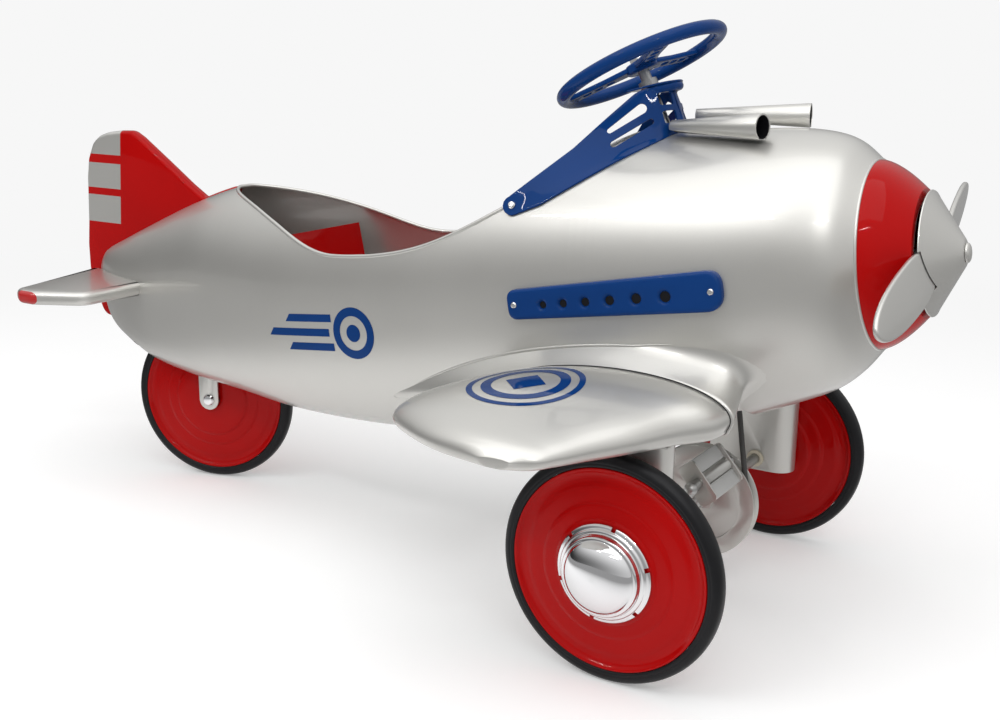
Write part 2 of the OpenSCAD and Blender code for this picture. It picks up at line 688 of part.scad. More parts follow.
axle_end = track / 2 + hub_half + nut_h + 3;
arm_in = 16;
arm_out = arm_in + pedal_length + 2 * plate + 26;
pin_x = crank_throw * cos(crank_angle);
pin_z = crank_throw * sin(crank_angle);
axle_r = axle_d / 2;
module crank_axle() color(STEEL) translate([front_axle_x, 0, axle_z])
    rod([[0, -axle_end, 0], [0, -arm_out, 0], [pin_x, -arm_out, pin_z], [pin_x, -arm_in, pin_z],
        [0, -arm_in, 0], [0, arm_in, 0], [-pin_x, arm_in, -pin_z], [-pin_x, arm_out, -pin_z],
        [0, arm_out, 0], [0, axle_end, 0]], axle_r);
module axle_nuts() color(CHROME) for (side = [-1, 1])
    on_axle(side * (track / 2 + hub_half + 2 * seated + nut_h / 2)) difference() {
        cylinder(h = nut_h, r = 10, $fn = 6, center = true);
        cylinder(h = nut_h + 2, r = axle_r + running, center = true);
    }
groove = belt_d / 2 + 0.4;
drive_half = 8;
// A grooved pulley's half section: r the belt's middle, rim the outside, bed and flare the groove's half width
// at its bottom and at the rim
module pulley(r, rim, bed, flare, half, hub, bore) rotate_extrude($fn = 96) difference() {
    union() {
        translate([bore, -half]) square([hub - bore, 2 * half]);
        translate([bore, -2]) square([r - groove - bore, 4]);
        translate([r - groove - 4, -flare - 1.5]) square([rim - r + groove + 4, 2 * flare + 3]);
    }
    polygon([[r - groove, -bed], [r + 1, -bed], [rim + 0.1, -flare], [rim + 0.1, flare], [r + 1, bed],
        [r - groove, bed]]);
}
module drive_pulley() color(SILVER) on_axle()
    pulley(drive_belt_r, drive_pulley_r, groove + 0.8, 6.2, drive_half, 14, axle_r + running);
small_rim = small_belt_r + 5;
module propeller_pulley() color(STEEL) on_shaft(pulley_station)
    pulley(small_belt_r, small_rim, 2.2 * groove, 13, 14, shaft_d / 2 + 4, shaft_d / 2 + running);

// The belt turns a quarter between the drive pulley and the propeller's pulley
belt_top = from_body(pulley_station, 0, 0);
belt_reach = norm([belt_top.x - front_axle_x, belt_top.z - axle_z]);
belt_lean = atan2(belt_top.z - axle_z, belt_top.x - front_axle_x);
belt_open = acos(drive_belt_r / belt_reach);
low_run = [for (i = [0:18]) let (a = mix(belt_lean - belt_open, belt_lean + belt_open - 360, i / 18))
    [front_axle_x + drive_belt_r * cos(a), 0, axle_z + drive_belt_r * sin(a)]];
high_run = [for (i = [0:10]) let (a = mix(0, 180, i / 10))
    from_body(pulley_station, small_belt_r * cos(a), small_belt_r * sin(a))];
function straight(a, b, n) = [for (i = [1:n]) mix(a, b, i / (n + 1))];
belt_path = concat(low_run, straight(low_run[18], high_run[0], 8), high_run,
    straight(high_run[10], low_run[0], 8));
belt_sides = 8;
function belt_ring(i) =
    let (n = len(belt_path), p = belt_path[i],
        t = unit(belt_path[(i + 1) % n] - belt_path[(i + n - 1) % n]),
        u = unit(cross(t, abs(t.y) > 0.9 ? [1, 0, 0] : [0, 1, 0])), v = cross(t, u))
    [for (k = [0:belt_sides - 1]) p + belt_d / 2 * (u * cos(360 * k / belt_sides) + v * sin(360 * k / belt_sides))];
module propeller_belt() color(RUBBER) {
    n = len(belt_path);
    m = belt_sides;
    polyhedron([for (i = [0:n - 1]) each belt_ring(i)], [for (i = [0:n - 1], k = [0:m - 1], half = [0, 1])
        let (j = (i + 1) % n, l = (k + 1) % m)
        half == 0 ? [i * m + k, j * m + l, i * m + l] : [i * m + k, j * m + k, j * m + l]]);
}

// Propeller

prop_station = -6;
prop_hub_r = 20;
spinner_wall = 2.4;
shaft_aft = pulley_station + 14;
function blade_half(t) = mix(0.34, 1, sin(min(1, t / 0.38) * 90)) * blade_width / 2
    * (t < 0.38 ? 1 : sqrt(max(0, 1 - pow((t - 0.38) / 0.62, 2.6))));
module blade(g = 0) {
    steps = 20;
    long = propeller_d / 2 - prop_hub_r / 2;
    edge = [for (i = [0:steps]) [blade_half(i / steps) + g, long * i / steps]];
    translate([0, prop_hub_r / 2, 0]) rotate([-blade_sweep, blade_pitch, 0])
        linear_extrude(blade_thickness + 2 * g, center = true)
            polygon(concat(edge, reversed([for (p = edge) [-p.x, p.y]])));
}
module propeller() color(SILVER) on_shaft(prop_station) rotate([0, 0, blade_angle]) difference() {
    union() {
        cylinder(h = 14, r = prop_hub_r, center = true);
        blade();
        rotate(180) blade();
    }
    cylinder(h = 40, r = shaft_d / 2 + running, center = true);
}
module spinner() color(SILVER) on_shaft() rotate([0, 0, blade_angle]) difference() {
    cylinder(h = spinner_length, r1 = spinner_r, r2 = cap_r);
    translate([0, 0, -0.01])
        cylinder(h = spinner_length - cap_sink, r1 = spinner_r - spinner_wall, r2 = cap_r + spinner_wall);
    cylinder(h = 3 * spinner_length, r = shaft_d / 2 + running, center = true);
    for (turn = [0, 180]) translate([0, 0, -prop_station]) rotate(turn) blade(2);
}
module spinner_cap() color(CHROME) on_shaft() difference() {
    translate([0, 0, spinner_length - cap_sink]) sphere(cap_r);
    cylinder(h = 2 * (spinner_length + seated), r = 2 * cap_r, center = true);
}
module propeller_shaft() color(STEEL) on_shaft(shaft_aft)
    cylinder(h = shaft_aft + spinner_length - 0.5, r = shaft_d / 2);

// Pedals

pad_w = 16;
pad_h = 14;
pad_gap = 15;
pedal_y = arm_in + axle_r + 4;
sleeve_r = axle_r + 2.5;
// At a pedal's pin, with +Y along it and out of the plane; side is -1 on the right
module on_pin(side) {
    translate([front_axle_x - side * pin_x, 0, axle_z - side * pin_z]) mirror([0, side < 0 ? 1 : 0, 0])
        rotate([0, -pedal_tilt, 0]) translate([0, pedal_y, 0]) children();
}
module pedal_plate() rotate([-90, 0, 0]) linear_extrude(plate) difference() {
    rounded_plate(-pad_gap - 8, pad_gap + 8, sleeve_r + 2, 5);
    circle(axle_r + running);
}
module pedal_frame() {
    pedal_plate();
    translate([0, pedal_length + plate, 0]) pedal_plate();
    rotate([-90, 0, 0]) tube(sleeve_r, 2.5 - running, pedal_length + 2 * plate);
}
module pedal_pads() for (x = [-pad_gap, pad_gap])
    translate([x - pad_w / 2, plate + seated, -pad_h / 2]) difference() {
        cube([pad_w, pedal_length - 2 * seated, pad_h]);
        translate([pad_w / 2 - x, -1, pad_h / 2]) rotate([-90, 0, 0])
            cylinder(h = pedal_length + 2, r = sleeve_r + seated);
    }
module right_pedal_frame() color(SILVER) on_pin(-1) pedal_frame();
module right_pedal_pads() color("darkgray") on_pin(-1) pedal_pads();
module left_pedal_frame() color(SILVER) on_pin(1) pedal_frame();
module left_pedal_pads() color("darkgray") on_pin(1) pedal_pads();

// Steering

hub_r = 17;
rim_mid = steering_wheel_d / 2 - steering_rim / 2;
module on_wheel() {
    on_column() rotate([0, 0, -steer_rest]) children();
}
module steering_wheel() color(BLUE) on_wheel() difference() {
    union() {
        rotate_extrude($fn = 96) translate([rim_mid, 0]) circle(steering_rim / 2);
        translate([0, 0, -6]) cylinder(h = 10, r = hub_r);
        for (a = [90, 210, 330]) rotate(a) translate([hub_r - 4, -11, -3]) cube([rim_mid - hub_r + 4, 22, 5]);
    }
    for (a = [90, 210, 330], r = [0.42, 0.58, 0.74])
        rotate(a) translate([rim_mid * r, 0, -10]) cylinder(h = 20, r = 4.5);
    cylinder(h = 40, r = column_d / 2 + running, center = true);
}
module column_nut() color(CHROME) on_wheel() translate([0, 0, 4 + seated]) difference() {
    cylinder(h = 7, r = 10, $fn = 6);
    translate([0, 0, -1]) cylinder(h = 9, r = column_d / 2 + running);
}
module steering_column() color(STEEL) on_column(column_end) cylinder(h = column_end + 13, r = column_d / 2);
// The arm's pin works in a cross slot of the rod, so that both move by the same amount along the body
column_arm = fork_arm * cos(column_rake);
pin_d = 6;
pin_long = 46;
module steering_arm() color(STEEL) on_column(arm_t) rotate([0, 0, -steer_rest]) {
    difference() {
        hull() {
            cylinder(h = 5, r = 11);
            translate([0, -column_arm, 0]) cylinder(h = 5, r = 7);
        }
        cylinder(h = 20, r = column_d / 2 + running, center = true);
    }
    translate([0, -column_arm, -pin_long]) cylinder(h = pin_long, r = pin_d / 2);
}

// Tail wheel

fork_half = hub_half + 4;
strap = 3;
crown_z = wheel_d + 8;
stem_r = 8;
stem_top = 322;
bracket_z = 262;
module on_fork() {
    translate([tail_x, 0, 0]) rotate([0, 0, steer_rest]) children();
}
module fork_leg() translate([0, fork_half + strap, axle_z]) rotate([90, 0, 0]) linear_extrude(strap) difference() {
    union() {
        circle(fork_strap / 2);
        translate([-fork_strap / 2, 0]) square([fork_strap, crown_z - axle_z + strap]);
    }
    circle(4 + running);
}
module tail_fork() color(SILVER) on_fork() {
    fork_leg();
    left_copy() fork_leg();
    translate([-fork_strap / 2, -fork_half - strap, crown_z]) cube([fork_strap, 2 * (fork_half + strap), strap]);
    translate([0, 0, crown_z + 1]) cylinder(h = stem_top - crown_z - 1, r = stem_r);
}
arm_z = crown_z + strap + 4;
module fork_arm_plate() color(STEEL) on_fork() translate([0, 0, arm_z]) difference() {
    hull() {
        cylinder(h = strap, r = stem_r + 5);
        translate([0, fork_arm, 0]) cylinder(h = strap, r = 8);
    }
    translate([0, 0, -1]) cylinder(h = strap + 2, r = stem_r + running);
    translate([0, fork_arm, -1]) cylinder(h = strap + 2, r = 1.05 * rod_r + running);
}
module tail_axle_bolt() color(CHROME) on_fork() translate([0, 0, axle_z]) rotate([90, 0, 0]) {
    bolt_end = fork_half + strap + seated;
    cylinder(h = 2 * bolt_end + 1, r = 4, center = true);
    translate([0, 0, bolt_end]) cylinder(h = 4, r1 = 8.5, r2 = 6);
    translate([0, 0, -bolt_end - 6]) cylinder(h = 6, r = 7.5, $fn = 6);
}
module rear_wheel() color(RED) on_fork() translate([0, 0, axle_z]) rotate([-90, 0, 0]) wheel(4 + running);
module rear_tyre() color(RUBBER) on_fork() translate([0, 0, axle_z]) rotate([-90, 0, 0]) tyre();
stem_bush_r = stem_r + 4;
module tail_bracket() color(STEEL) inside_body() difference() {
    translate([tail_x - 26, -body_half_width, bracket_z]) cube([52, 2 * body_half_width, plate]);
    translate([tail_x, 0, bracket_z - 1]) cylinder(h = plate + 2, r = stem_bush_r + running);
}
module stem_bush() color(STEEL) translate([tail_x, 0, bracket_z - 2])
    tube(stem_bush_r, 4 - running, stem_top - bracket_z - 6);

// The rod hangs on the fork's arm and keeps its direction as the fork turns
rod_r = 3;
rod_shift = [-fork_arm * sin(steer_rest), -fork_arm * (1 - cos(steer_rest)), 0];
rod_rear = [tail_x, fork_arm, arm_z + strap + 9];
pin_reach = 24;
arm_foot = column_top + [(arm_t + pin_reach) * sin(column_rake), -column_arm, -(arm_t + pin_reach) * cos(column_rake)];
rod_low = seat_height - 20;
module steering_rod() color(STEEL) translate(rod_shift) {
    slot_long = fork_arm * 0.24 + pin_d + 2;
    slot_wide = pin_d / cos(column_rake) + 3.5;
    translate(arm_foot) difference() {
        translate([-slot_wide / 2 - 12, -slot_long / 2 - 4, -1.5]) cube([slot_wide + 18, slot_long + 8, 3]);
        translate([-slot_wide / 2, -slot_long / 2, -3]) cube([slot_wide, slot_long, 6]);
    }
    wire([rod_rear - [0, 0, 13], rod_rear, [tail_x + 90, fork_arm - 4, rod_low], [60, 0, rod_low],
        [200, -22, 282], arm_foot - [slot_wide / 2 + 9, 0, 0]], rod_r, 4);
}

// Seat

seat_x = 23;
seat_sheet = 2;
bar = 8;
module seat_pan() color(RED) {
    translate([seat_x - seat_length, -seat_width / 2, seat_height]) cube([seat_length, seat_width, seat_sheet]);
    translate([seat_x - seat_length, -seat_width / 2, seat_height]) rotate([0, -12, 0])
        cube([seat_sheet, seat_width, seat_back]);
}
module seat_bars() color(STEEL) inside_body() for (x = [seat_x - 30, seat_x - seat_length + 30])
    translate([x - 10, -body_half_width, seat_height - seated - bar]) cube([20, 2 * body_half_width, bar]);

fuselage_shell();
nose_cowl();
nose_bulkhead();
shaft_hanger();
shaft_bearings();
right_wing();
left_wing();
right_stabilizer();
left_stabilizer();
tail_fin();
windshield_frame();
windshield_screws();
right_gun();
left_gun();
right_exhaust_panel();
left_exhaust_panel();
exhaust_screws();
right_leg();
left_leg();
leg_bolts();
axle_bushes();
column_bush();
column_brace();
seat_pan();
seat_bars();
tail_bracket();
stem_bush();
propeller_belt();
propeller();
spinner();
spinner_cap();
propeller_shaft();
propeller_pulley();
crank_axle();
drive_pulley();
axle_nuts();
right_wheel();
right_tyre();
right_hub_cap();
left_wheel();
left_tyre();
left_hub_cap();
right_pedal_frame();
right_pedal_pads();
left_pedal_frame();
left_pedal_pads();
steering_wheel();
steering_column();
steering_arm();
column_nut();
tail_fork();
fork_arm_plate();
tail_axle_bolt();
rear_wheel();
rear_tyre();
steering_rod();
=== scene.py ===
# %% [markdown]
# A pedal plane is a child's ride-on toy of painted pressed steel. Its solid model is loaded first and never
# moved, because every piece made below has to lie where that model says. Sizes are written in millimetres and
# turned into metres once.

# %% Load the frame
import json
from math import acos, asin, atan2, cos, pi, radians, sin, sqrt
import bpy
from mathutils import Matrix, Vector


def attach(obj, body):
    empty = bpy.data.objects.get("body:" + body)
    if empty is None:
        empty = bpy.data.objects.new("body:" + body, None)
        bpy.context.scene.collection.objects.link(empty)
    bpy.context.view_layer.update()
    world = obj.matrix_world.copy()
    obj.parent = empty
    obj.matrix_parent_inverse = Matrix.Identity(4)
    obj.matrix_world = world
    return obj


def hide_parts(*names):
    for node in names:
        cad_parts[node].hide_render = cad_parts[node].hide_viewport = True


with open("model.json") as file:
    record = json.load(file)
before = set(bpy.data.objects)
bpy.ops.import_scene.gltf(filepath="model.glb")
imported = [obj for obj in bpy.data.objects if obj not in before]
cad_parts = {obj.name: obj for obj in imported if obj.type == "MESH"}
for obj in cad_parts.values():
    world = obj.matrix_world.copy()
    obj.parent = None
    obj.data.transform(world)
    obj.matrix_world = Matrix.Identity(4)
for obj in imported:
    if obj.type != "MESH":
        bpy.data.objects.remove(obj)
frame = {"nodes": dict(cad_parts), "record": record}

MM = 0.001
HERE = Matrix.Identity(4)
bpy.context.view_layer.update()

# %% [markdown]
# The camera stands where the photograph was taken from, in front of the right wing and a little above it. Turning
# it by hand until the view fits would do. Its place and focal length can also be worked out from the outlines of
# the three wheels, circles of one known size, and that is more exact.

# %% Camera
EYE, YAW, PITCH, ROLL = Vector((825.0, -1188.8, 590.3)) * MM, 2.123179, -0.250841, 0.011466
FOCAL_PIXELS, PHOTO_WIDTH, SENSOR, NEAREST = 1226.64, 1000, 36, 0.05
ahead = Vector((cos(PITCH) * cos(YAW), cos(PITCH) * sin(YAW), sin(PITCH)))
aside = Vector((sin(YAW), -cos(YAW), 0))
above = aside.cross(ahead)
right = cos(ROLL) * aside + sin(ROLL) * above
top = cos(ROLL) * above - sin(ROLL) * aside
bpy.ops.object.camera_add()
camera = bpy.context.object
camera.data.sensor_width = SENSOR
camera.data.lens = FOCAL_PIXELS / PHOTO_WIDTH * SENSOR
camera.data.clip_start = NEAREST
camera.matrix_world = Matrix.Translation(EYE) @ Matrix((right, top, -ahead)).transposed().to_4x4()
bpy.context.scene.camera = camera
print("lens", round(camera.data.lens, 2), "mm")

# %% [markdown]
# Each finish below is a node material. Wiring every Math node by hand is slow to write and hard to read. So a
# small class stands for one value in a tree, and a sum such as 1 - mask, written as it is thought, adds its own
# Math nodes.

# %% Values in a node tree
def join(tree, item, socket):
    if isinstance(item, Value):
        tree.links.new(item.socket, socket)
    else:
        socket.default_value = item


def add_node(tree, kind, settings={}, sockets={}, out=0):
    """Any node, from its type, its settings, what its sockets get, and the output that is wanted."""
    node = tree.nodes.new("ShaderNode" + kind)
    for key, value in settings.items():
        setattr(node, key, value)
    for key, item in sockets.items():
        join(tree, item, node.inputs[key])
    return Value(tree, node.outputs[out])


def maths(operation, swapped=False):
    """An operator between values."""
    def act(value, other=0):
        first, second = (other, value) if swapped else (value, other)
        return add_node(value.tree, "Math", {"operation": operation}, {0: first, 1: second})
    return act


class Value:
    """One value in a node tree."""
    __add__, __radd__ = maths("ADD"), maths("ADD", True)
    __sub__, __rsub__ = maths("SUBTRACT"), maths("SUBTRACT", True)
    __mul__, __rmul__ = maths("MULTIPLY"), maths("MULTIPLY", True)
    __gt__, __lt__ = maths("GREATER_THAN"), maths("LESS_THAN")
    __abs__, larger = maths("ABSOLUTE"), maths("MAXIMUM")

    def __init__(self, tree, socket):
        self.tree, self.socket = tree, socket


print("values ready")

# %% [markdown]
# A finish has one Principled shader. What is the same all over a surface is set on the shader's own socket. What
# changes comes from nodes that read the place on the object, so that no picture is needed.

# %% Finishes
class Finish:
    """A material with one Principled shader."""

    def __init__(self, name, **constants):
        self.material = bpy.data.materials.new(name)
        self.material.use_nodes = True
        self.tree = self.material.node_tree
        self.shader = self.tree.nodes["Principled BSDF"]
        for key, value in constants.items():
            self.feed(key.replace("_", " ").title().replace("Ior", "IOR"), value)
        self.place = self.node("TexCoord", out="Object")

    def feed(self, socket, item):
        join(self.tree, item, self.shader.inputs[socket])

    def node(self, kind, settings={}, sockets={}, out=0):
        return add_node(self.tree, kind, settings, sockets, out)

    def noise(self, scale, detail=2.0):
        return self.node("TexNoise", {}, {"Vector": self.place, "Scale": scale, "Detail": detail})

    def axis(self, name):
        return self.node("SeparateXYZ", {}, {"Vector": self.place}, name)

    def mix(self, share, first, second):
        return self.node("Mix", {"data_type": "RGBA"}, {0: share, 6: first, 7: second}, 2)

    def bump(self, height, distance, strength):
        sockets = {"Height": height, "Distance": distance, "Strength": strength}
        self.feed("Normal", self.node("Bump", {}, sockets))


print("finishes ready")

# %% [markdown]
# Most of the toy wears silver lacquer: tiny metal flakes under a clear coat. A plain grey metal would look like
# bare steel. A very fine noise stands for the flakes, and a slow one for the uneven cloud that sprayed silver
# shows on large panels.

# %% Silver lacquer
SILVER, SILVER_DARK = (0.66, 0.652, 0.622, 1), (0.55, 0.542, 0.515, 1)
RED, RED_DEEP = (0.47, 0.003, 0.003, 1), (0.38, 0.002, 0.002, 1)
BLUE, BLUE_DEEP = (0.006, 0.046, 0.200, 1), (0.004, 0.034, 0.145, 1)
FLAKES, CLOUDS, SATIN, UNEVEN = 1600, 7.0, 0.32, 0.06


def lacquer(finish, light, dark):
    spark, cloud = finish.noise(FLAKES, 1.0), finish.noise(CLOUDS, 3.0)
    finish.feed("Roughness", SATIN + UNEVEN * spark + UNEVEN * cloud)
    return finish.mix(0.4 * spark + 0.6 * cloud, dark, light)


silver = Finish("silver_lacquer", metallic=0.75, coat_weight=0.7, coat_roughness=0.05, coat_ior=1.45)
silver.feed("Base Color", lacquer(silver, SILVER, SILVER_DARK))
print("silver lacquer")

# %% [markdown]
# Red and blue are gloss enamels. One flat colour would look like plastic, because real enamel has a faint
# waviness, called orange peel, and pools a little darker here and there. A low bump and a slow noise do both.

# %% Red and blue enamel
PEEL, PEEL_DEPTH, POOLS = 260.0, 0.00005, 9.0


def enamel(name, light, deep):
    finish = Finish(name, specular_ior_level=0.0, coat_weight=1.0, coat_roughness=0.025, coat_ior=1.22)
    finish.feed("Roughness", 0.30 + 0.12 * finish.noise(25.0))
    finish.bump(finish.noise(PEEL), PEEL_DEPTH, 0.25)
    return finish, finish.mix(finish.noise(POOLS, 3.0), deep, light)


red, red_colour = enamel("red_enamel", RED, RED_DEEP)
red.feed("Base Color", red_colour)
blue, blue_colour = enamel("blue_enamel", BLUE, BLUE_DEEP)
blue.feed("Base Color", blue_colour)
print("enamels")

# %% [markdown]
# The fin is red with three silver bars at its trailing edge, and the stabilizers are silver with red tips.
# Separate pieces for each colour would leave seams, so both are painted by place: a mask compares the object's
# own coordinates, in metres, with the edges of each bar.

# %% Two-colour finishes
BARS = [(0.3415, 0.380), (0.390, 0.425), (0.437, 0.500)]
BAR_EDGE, BAR_LEAN, BAR_FOOT, BAR_METAL = -0.5315, 0.081, 0.344, 0.7
TIP, TAIL_METAL = 0.1795, 0.72
fin_paint, fin_red = enamel("fin_enamel", RED, RED_DEEP)
height, along = fin_paint.axis("Z"), fin_paint.axis("X")
bars = sum((height > low) * (height < high) for low, high in BARS)
bars = bars * (along < BAR_EDGE + BAR_LEAN * (height - BAR_FOOT))
fin_paint.feed("Base Color", fin_paint.mix(bars, fin_red, SILVER))
fin_paint.feed("Metallic", bars * BAR_METAL)
tail_paint = Finish("tail_lacquer", coat_weight=0.8, coat_roughness=0.04, coat_ior=1.42)
tip = abs(tail_paint.axis("Y")) > TIP
tail_paint.feed("Base Color", tail_paint.mix(tip, lacquer(tail_paint, SILVER, SILVER_DARK), RED))
tail_paint.feed("Metallic", TAIL_METAL - TAIL_METAL * tip)
print("two-colour finishes")

# %% [markdown]
# The small finishes follow: chrome with faint buffing marks, zinc-plated steel, black rubber with a dusty bloom,
# cream nylon for the axle bushes, bronze for the bearings and grey paint on the pedal pads. Five of them differ
# only in colour, gloss and grain, so one function makes them.

# %% Metals, rubber and nylon
ZINC, ZINC_DARK = (0.56, 0.56, 0.55, 1), (0.36, 0.36, 0.35, 1)
chrome = Finish("chrome", base_color=(0.80, 0.80, 0.81, 1), metallic=1.0)
chrome.feed("Roughness", 0.035 + 0.05 * chrome.noise(120.0, 4.0))
steel = Finish("zinc_steel", metallic=1.0)
steel.feed("Base Color", steel.mix(steel.noise(60.0, 4.0), ZINC_DARK, ZINC))
steel.feed("Roughness", 0.30 + 0.2 * steel.noise(150.0))
steel.bump(steel.noise(400.0), 0.00005, 0.3)


def plain(name, light, dark, rough, grain, depth, metallic=0.0):
    finish = Finish(name, metallic=metallic)
    finish.feed("Base Color", finish.mix(finish.noise(30.0, 4.0), dark, light))
    finish.feed("Roughness", rough + 0.15 * finish.noise(90.0))
    finish.bump(finish.noise(grain, 3.0), depth, 0.5)
    return finish


rubber = plain("black_rubber", (0.012, 0.012, 0.014, 1), (0.005, 0.005, 0.006, 1), 0.34, 700.0, 0.00006)
rubber.feed("Specular IOR Level", 0.22)
cord = plain("belt_rubber", (0.075, 0.073, 0.070, 1), (0.040, 0.039, 0.038, 1), 0.60, 900.0, 0.0001)
nylon = plain("cream_nylon", (0.74, 0.68, 0.55, 1), (0.62, 0.56, 0.44, 1), 0.40, 500.0, 0.00005)
bronze = plain("bronze", (0.55, 0.38, 0.16, 1), (0.40, 0.27, 0.11, 1), 0.32, 500.0, 0.00004, 1.0)
pad_paint = plain("pad_paint", (0.56, 0.56, 0.55, 1), (0.46, 0.46, 0.45, 1), 0.34, 300.0, 0.0001)
print("small finishes")

# %% [markdown]
# These helpers repeat what a modeller does by hand: select a piece, go into edit mode, weld the points, turn the
# faces outwards, apply a modifier. An operator acts on all that is selected, so everything is deselected first.

# %% Modelling helpers
def clear():
    if bpy.context.object and bpy.context.object.mode != "OBJECT":
        bpy.ops.object.mode_set(mode="OBJECT")
    bpy.ops.object.select_all(action="DESELECT")


def pick(*pieces):
    clear()
    for piece in pieces:
        piece.select_set(True)
    bpy.context.view_layer.objects.active = pieces[0]


def edit(piece):
    pick(piece)
    bpy.ops.object.mode_set(mode="EDIT")
    bpy.ops.mesh.select_all(action="SELECT")


def weld(piece, distance=1e-5):
    edit(piece)
    bpy.ops.mesh.remove_doubles(threshold=distance)
    bpy.ops.mesh.normals_make_consistent(inside=False)
    clear()


def modify(piece, kind, **settings):
    pick(piece)
    modifier = piece.modifiers.new(kind.lower(), kind)
    for key, value in settings.items():
        setattr(modifier, key, value)
    bpy.ops.object.modifier_apply(modifier=modifier.name)


def cut(piece, cutter):
    modify(piece, "BOOLEAN", object=cutter, operation="DIFFERENCE", solver="EXACT")
    bpy.data.objects.remove(cutter)


def put(piece, place):
    piece.matrix_world = place
    pick(piece)
    bpy.ops.object.transform_apply(location=True, rotation=True, scale=True)


def joined(name, *pieces):
    pick(*pieces)
    bpy.ops.object.join()
    pieces[0].name = pieces[0].data.name = name
    return pieces[0]


print("helpers ready")

# %% [markdown]
# A finished piece gets smooth shading that keeps sharp corners, its finish, and the body that it moves with. Each
# slot of the solid model has its usual finish, so most pieces only name their slot. A piece with a painted
# pattern names its own finish.

# %% Dressing a piece
SHARP = radians(38)
BY_SLOT = {"silver_paint": silver, "red_paint": red, "blue_paint": blue, "steel": steel, "chrome": chrome,
           "tyre": rubber, "belt": cord, "bush": nylon, "bearing": bronze, "pad": pad_paint}


def dress(piece, *nodes, slot="silver_paint", body="fuselage", finish=None, sharp=SHARP):
    pick(piece)
    bpy.ops.object.shade_smooth_by_angle(angle=sharp)
    piece.data.materials.clear()
    piece.data.materials.append((finish or BY_SLOT[slot]).material)
    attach(piece, body)
    if nodes:
        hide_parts(*nodes)
    print(piece.name, len(piece.data.polygons), "faces", [round(d, 3) for d in piece.dimensions])


print("finishes for", len(BY_SLOT), "slots")

# %% [markdown]
# The body is a long pressed shell. It could be shaped from a stretched sphere, but its width, top and bottom
# change at different rates. So sections are given as shares of its size, and a smooth curve runs through them. A
# section is an ellipse above and gets squarer below towards the tail. Places count from the spinner's base: s
# backwards along the propeller's axis, z up from it.

# %% The body's sections
PITCH_UP, NOSE = 7.0, Vector((570.1714, 0, 405))
LENGTH, HALF_WIDTH, TOP, BOTTOM, SHEET = 1156, 130, 137, 190, 1.2
BODY = [[0.04, 0.70, 0.664, 0.479, 2], [0.058, 0.835, 0.81, 0.6, 2], [0.078, 0.895, 0.883, 0.69, 2.05],
        [0.11, 0.935, 0.928, 0.765, 2.1], [0.165, 0.97, 0.952, 0.862, 2.2], [0.26, 0.992, 0.985, 0.94, 2.4],
        [0.39, 1, 1, 0.99, 2.6], [0.52, 0.985, 0.96, 1, 2.8], [0.65, 0.895, 0.885, 0.93, 3],
        [0.75, 0.735, 0.81, 0.81, 3.4], [0.82, 0.585, 0.69, 0.735, 3.8], [0.9, 0.42, 0.5, 0.62, 4],
        [0.95, 0.3, 0.372, 0.485, 3.6], [0.985, 0.17, 0.28, 0.36, 3], [1, 0.075, 0.19, 0.2, 2.4]]


def mix(a, b, t):
    return a + (b - a) * t


def slope(rows, c, i):
    a, b = max(i - 1, 0), min(i + 1, len(rows) - 1)
    return (rows[b][c] - rows[a][c]) / (rows[b][0] - rows[a][0])


def curve(rows, c, x):
    i = max([k for k in range(len(rows) - 1) if rows[k][0] <= x], default=0)
    d = rows[i + 1][0] - rows[i][0]
    t = (x - rows[i][0]) / d
    return (rows[i][c] * (1 + 2 * t) * (1 - t) ** 2 + rows[i + 1][c] * (3 - 2 * t) * t * t
            + slope(rows, c, i) * d * t * (1 - t) ** 2 - slope(rows, c, i + 1) * d * (1 - t) * t * t)


def section(s):
    """Half width, top, bottom and squareness a distance s behind the spinner's base."""
    wide, high, low, square = (curve(BODY, c, s / LENGTH) for c in range(1, 5))
    return HALF_WIDTH * wide, TOP * high, -BOTTOM * low, square


def skin(s, z):
    """Half the body's width at a height z above the propeller's axis."""
    half, crown, belly, square = section(s)
    middle = (crown + belly) / 2
    n = 2 if z > middle else square
    return half * max(0, 1 - abs((z - middle) / (crown - middle)) ** n) ** (1 / n)


print("body section at 400 mm", [round(v, 1) for v in section(400)])

# %% [markdown]
# The body stands with its nose up by a few degrees. Working in its own directions, and turning each place at the
# end, keeps the numbers simple. The steering column leans back from its own point.

# %% Places on the body
COLUMN_TOP, RAKE = Vector((260.1746, 0, 571.758)), radians(27)
LEVEL, TILT = cos(radians(PITCH_UP)), sin(radians(PITCH_UP))


def from_body(s, y, z):
    return Vector((NOSE.x - s * LEVEL - z * TILT, y, NOSE.z - s * TILT + z * LEVEL))


def to_body(p):
    back, up = NOSE.x - p[0], p[2] - NOSE.z
    return back * LEVEL - up * TILT, p[1], back * TILT + up * LEVEL


def on_skin(s, z, lift=0):
    return from_body(s, skin(s, z) + lift, z)


def over_crown(s, y, lift):
    return from_body(s, y, section(s)[1] + lift)


def turned(angle, axis="Z"):
    return Matrix.Rotation(angle, 4, axis)


def raised(height):
    return Matrix.Translation((0, 0, height * MM))


ON_BODY = Matrix.Translation(NOSE * MM) @ turned(radians(-PITCH_UP), "Y")
ON_COLUMN = Matrix.Translation(COLUMN_TOP * MM) @ turned(-RAKE, "Y")
MIRROR_Y = Matrix.Diagonal((1, -1, 1, 1))
SIDES = (("left", HERE), ("right", MIRROR_Y))
print("crown at 400 mm", [round(v, 1) for v in over_crown(400, 0, 0)])

# %% [markdown]
# The cockpit is cut deep into the sides, in a U-shaped line. A Boolean cut through so thin a sheet would leave a
# ragged edge. So the line is given as heights along the body, and the skin ends there.

